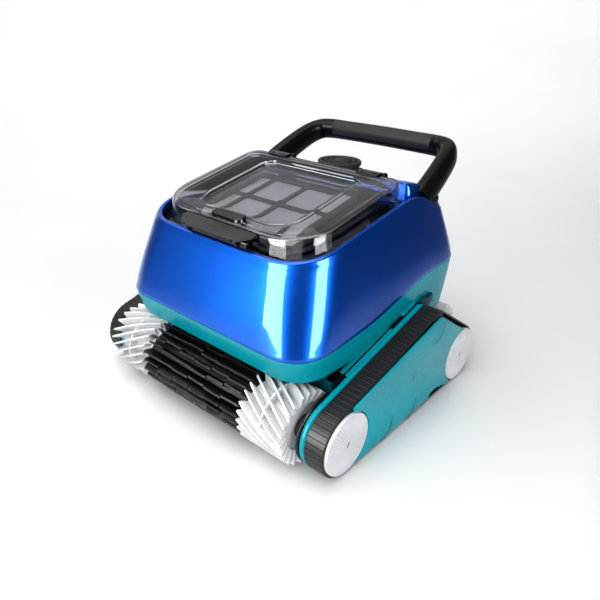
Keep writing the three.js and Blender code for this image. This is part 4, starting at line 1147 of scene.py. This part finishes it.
# ---------------------------------------------------------------- lid and latch
def lid():
    """The smoked lid: a flat top with a sunk window and a fine step line, and a deep skirt."""
    skirt_foot = grown(LID, SKIRT_FLARE)._replace(rear=LID.rear + 1)
    steps = {"corner": 18, "side": 20, "end": 16}

    def at(plan, drop):
        return ring(plan, lid_plane(drop), **steps)

    rings = [at(grown(WINDOW, -12), 4.5), at(grown(WINDOW, -1.2), 4.5), at(grown(WINDOW, -0.5), 4.2),
             at(grown(WINDOW, -0.1), 3.3), at(grown(WINDOW, 0.1), 1.2), at(grown(WINDOW, 0.5), 0.3),
             at(grown(WINDOW, 1.4), 0)]
    line = -8.8
    rings += [at(grown(LID, line - 0.7), 0), at(grown(LID, line - 0.45), 0.45),
              at(grown(LID, line + 0.45), 0.45), at(grown(LID, line + 0.7), 0)]
    radius = 3.2
    for angle in (0, 18, 36, 54, 72, 90):
        a = math.radians(angle)
        rings.append(at(grown(LID, -radius * (1 - math.sin(a))), radius * (1 - math.cos(a))))
    rings += [at(mixed(LID, skirt_foot, t), radius + (SKIRT - 1 - radius) * t) for t in (0.3, 0.6, 1)]
    rings += [at(grown(skirt_foot, -0.5), SKIRT), at(grown(skirt_foot, -2.0), SKIRT),
              at(grown(skirt_foot, -2.5), SKIRT - 1),
              at(grown(LID, -2.6), radius + 2), at(grown(LID, -3.6), 3.4), at(grown(LID, -5), 3)]
    rings += [at(grown(WINDOW, 4), 3), at(grown(WINDOW, 2.9), 4), at(grown(WINDOW, 2.7), 7),
              at(grown(WINDOW, -12), 7)]
    shell = loft(rings)
    notch = prism([(y, LID_Z + LID_SLOPE * y - d) for y, d in ((-150, 3), (-129, 3), (-129, 45), (-150, 45))],
                  (-63, 63))
    cut(shell, notch)
    show(shell, "smoked_lid", "lid_body", SMOKE, ["lid"], 32)
    tab_plan = Plan(27, -131, -114, 8, 8)
    tab = loft([ring(p, lid_plane(-h)) for p, h in (
        (tab_plan, 0.3), (tab_plan, 3.4), (grown(tab_plan, -0.5), 4.4), (grown(tab_plan, -1.4), 5.0),
        (grown(tab_plan, -3.2), 5.1), (grown(tab_plan, -3.8), 4.4), (grown(tab_plan, -5.5), 4.3))])
    show(tab, "lift_tab", "lid_body", GLOSS_BLACK, ["lid_tab"], 40)
    for side, word in SIDES:
        hinge(side, word)


def hinge(side, word):
    """One lid hinge: a leaf on the lid with its knuckle, and the pin."""
    span = sided((64, 98), side)
    top = lid_plane(-0.3)
    leaf = prism([(50, top(50)), (58, top(58)), (HINGE.y, HINGE.z - 1), (HINGE.y, HINGE.z + 3.0),
                  (58, top(58) + 2.0), (50, top(50) + 1.1)], span)
    knuckle = turned([(0, span[0]), (3.4, span[0]), (3.4, span[1]), (0, span[1])], (0, HINGE.y, HINGE.z),
                     steps=32)
    join(leaf, knuckle)
    bore = turned([(0, span[0] - 1), (2.1, span[0] - 1), (2.1, span[1] + 1), (0, span[1] + 1)],
                  (0, HINGE.y, HINGE.z), steps=24)
    screws = [turned([(0, 0), (2.6, 0), (2.6, 4), (0, 4)], (side * x, 54, top(54) + 1.2), axis="Z", steps=24)
              for x in (71, 91)]
    cut(leaf, bore, *screws)
    show(rounded(leaf, 0.4, 2), f"hinge_leaf_{word}", "lid_body", SATIN_BLACK, [f"lid_hinge_{word}"])
    x0, x1 = span[0] - 5, span[1] + 5
    pin = turned([(0, x0), (1.5, x0), (1.8, x0 + 0.3), (1.8, x1 - 0.3), (1.5, x1), (0, x1)],
                 (0, HINGE.y, HINGE.z), steps=24)
    show(pin, f"pin_{word}", "chassis", STEEL, [f"hinge_pin_{word}"], 30)


def latch():
    """The latch: a chamfered flap that turns on a pin between two ears of the box on the tray."""
    def top(y, drop):
        return LID_Z + LID_SLOPE * y - drop

    rear, front = -136.2, -158.5
    slab = prism([(rear, top(rear, 0.4)), (front + 1, top(front, 0.4)), (front, top(front, 1.4)),
                  (front + 0.6, top(front, 3.4)), (rear, top(rear, 3.6))], (-62, 62))
    plan = prism([(-62, -130), (-62, -143), (-58, -148.5), (-49, -158), (-45, -160), (45, -160), (49, -158),
                  (58, -148.5),
                  (62, -143), (62, -130)], (240, 275), axis="Z")
    combine(slab, "INTERSECT", [plan])
    barrel = turned([(0, -40), (2.8, -40), (2.8, 40), (0, 40)], (0, LATCH.y, LATCH.z), steps=32)
    join(slab, barrel)
    bore = turned([(0, -41), (1.5, -41), (1.5, 41), (0, 41)], (0, LATCH.y, LATCH.z), steps=24)
    rooms = [block(sided((41, 46), side), (-159.5, -148), (240, 258)) for side, _ in SIDES]
    mark = turned([(1.1, 0), (1.9, 0), (1.9, 3), (1.1, 3)], (0, -147.5, top(-147.5, 0.75)), axis="Z",
                  steps=24)
    cut(slab, bore, *rooms, mark)
    show(rounded(slab, 0.6, 3), "latch_paddle", "latch_body", GREY_BLACK, ["latch_flap"])

    box_form = prism([(-137.2, 236.5), (-137.2, 257.6), (-149, 254.2), (-149, 246.6), (-141.2, 246.6),
                      (-141.2, 236.5)], (-57, 57))
    parts = [rounded(box_form, 0.8, 3)]
    for side, _ in SIDES:
        ear = prism([(-147, 247), (-147, 254.2), (-153, 257.4), (-156, 257.6), (-157.6, 256), (-152, 247)],
                    sided((41.5, 45.5), side))
        hole = turned([(0, 40), (1.5, 40), (1.5, 47), (0, 47)], (0, LATCH.y, LATCH.z), side, steps=20)
        parts.append(rounded(cut(ear, hole), 0.4, 2))
        for x in (36, 39.5, 48.5, 52):
            parts.append(rounded(prism([(-140.6, 238), (-140.6, 247), (-142.2, 247), (-142.2, 238)],
                                       sided((x, x + 1.1), side)), 0.3, 2))
    show(gather(parts), "latch_housing", "chassis", GLOSS_BLACK, ["latch_box"])
    pin = turned([(0, -45), (1.0, -45), (1.2, -44.8), (1.2, 44.8), (1.0, 45), (0, 45)],
                 (0, LATCH.y, LATCH.z), steps=20)
    show(pin, "latch_rod", "chassis", STEEL, ["latch_pin"], 30)


# ---------------------------------------------------------------- build
finish_frame()
camera()
studio()
cowl()
chassis()
for side, word in SIDES:
    belt(side, word)
    side_plate(side, word)
    ledge(side, word)
    side_cover(side, word)
    for end, place in ENDS:
        hub_cap(side, word, end, place)
for end, place in ENDS:
    brush(end, place)
rear_deck()
outlet()
handle()
cable_inlet()
filter_bay()
lid()
latch()
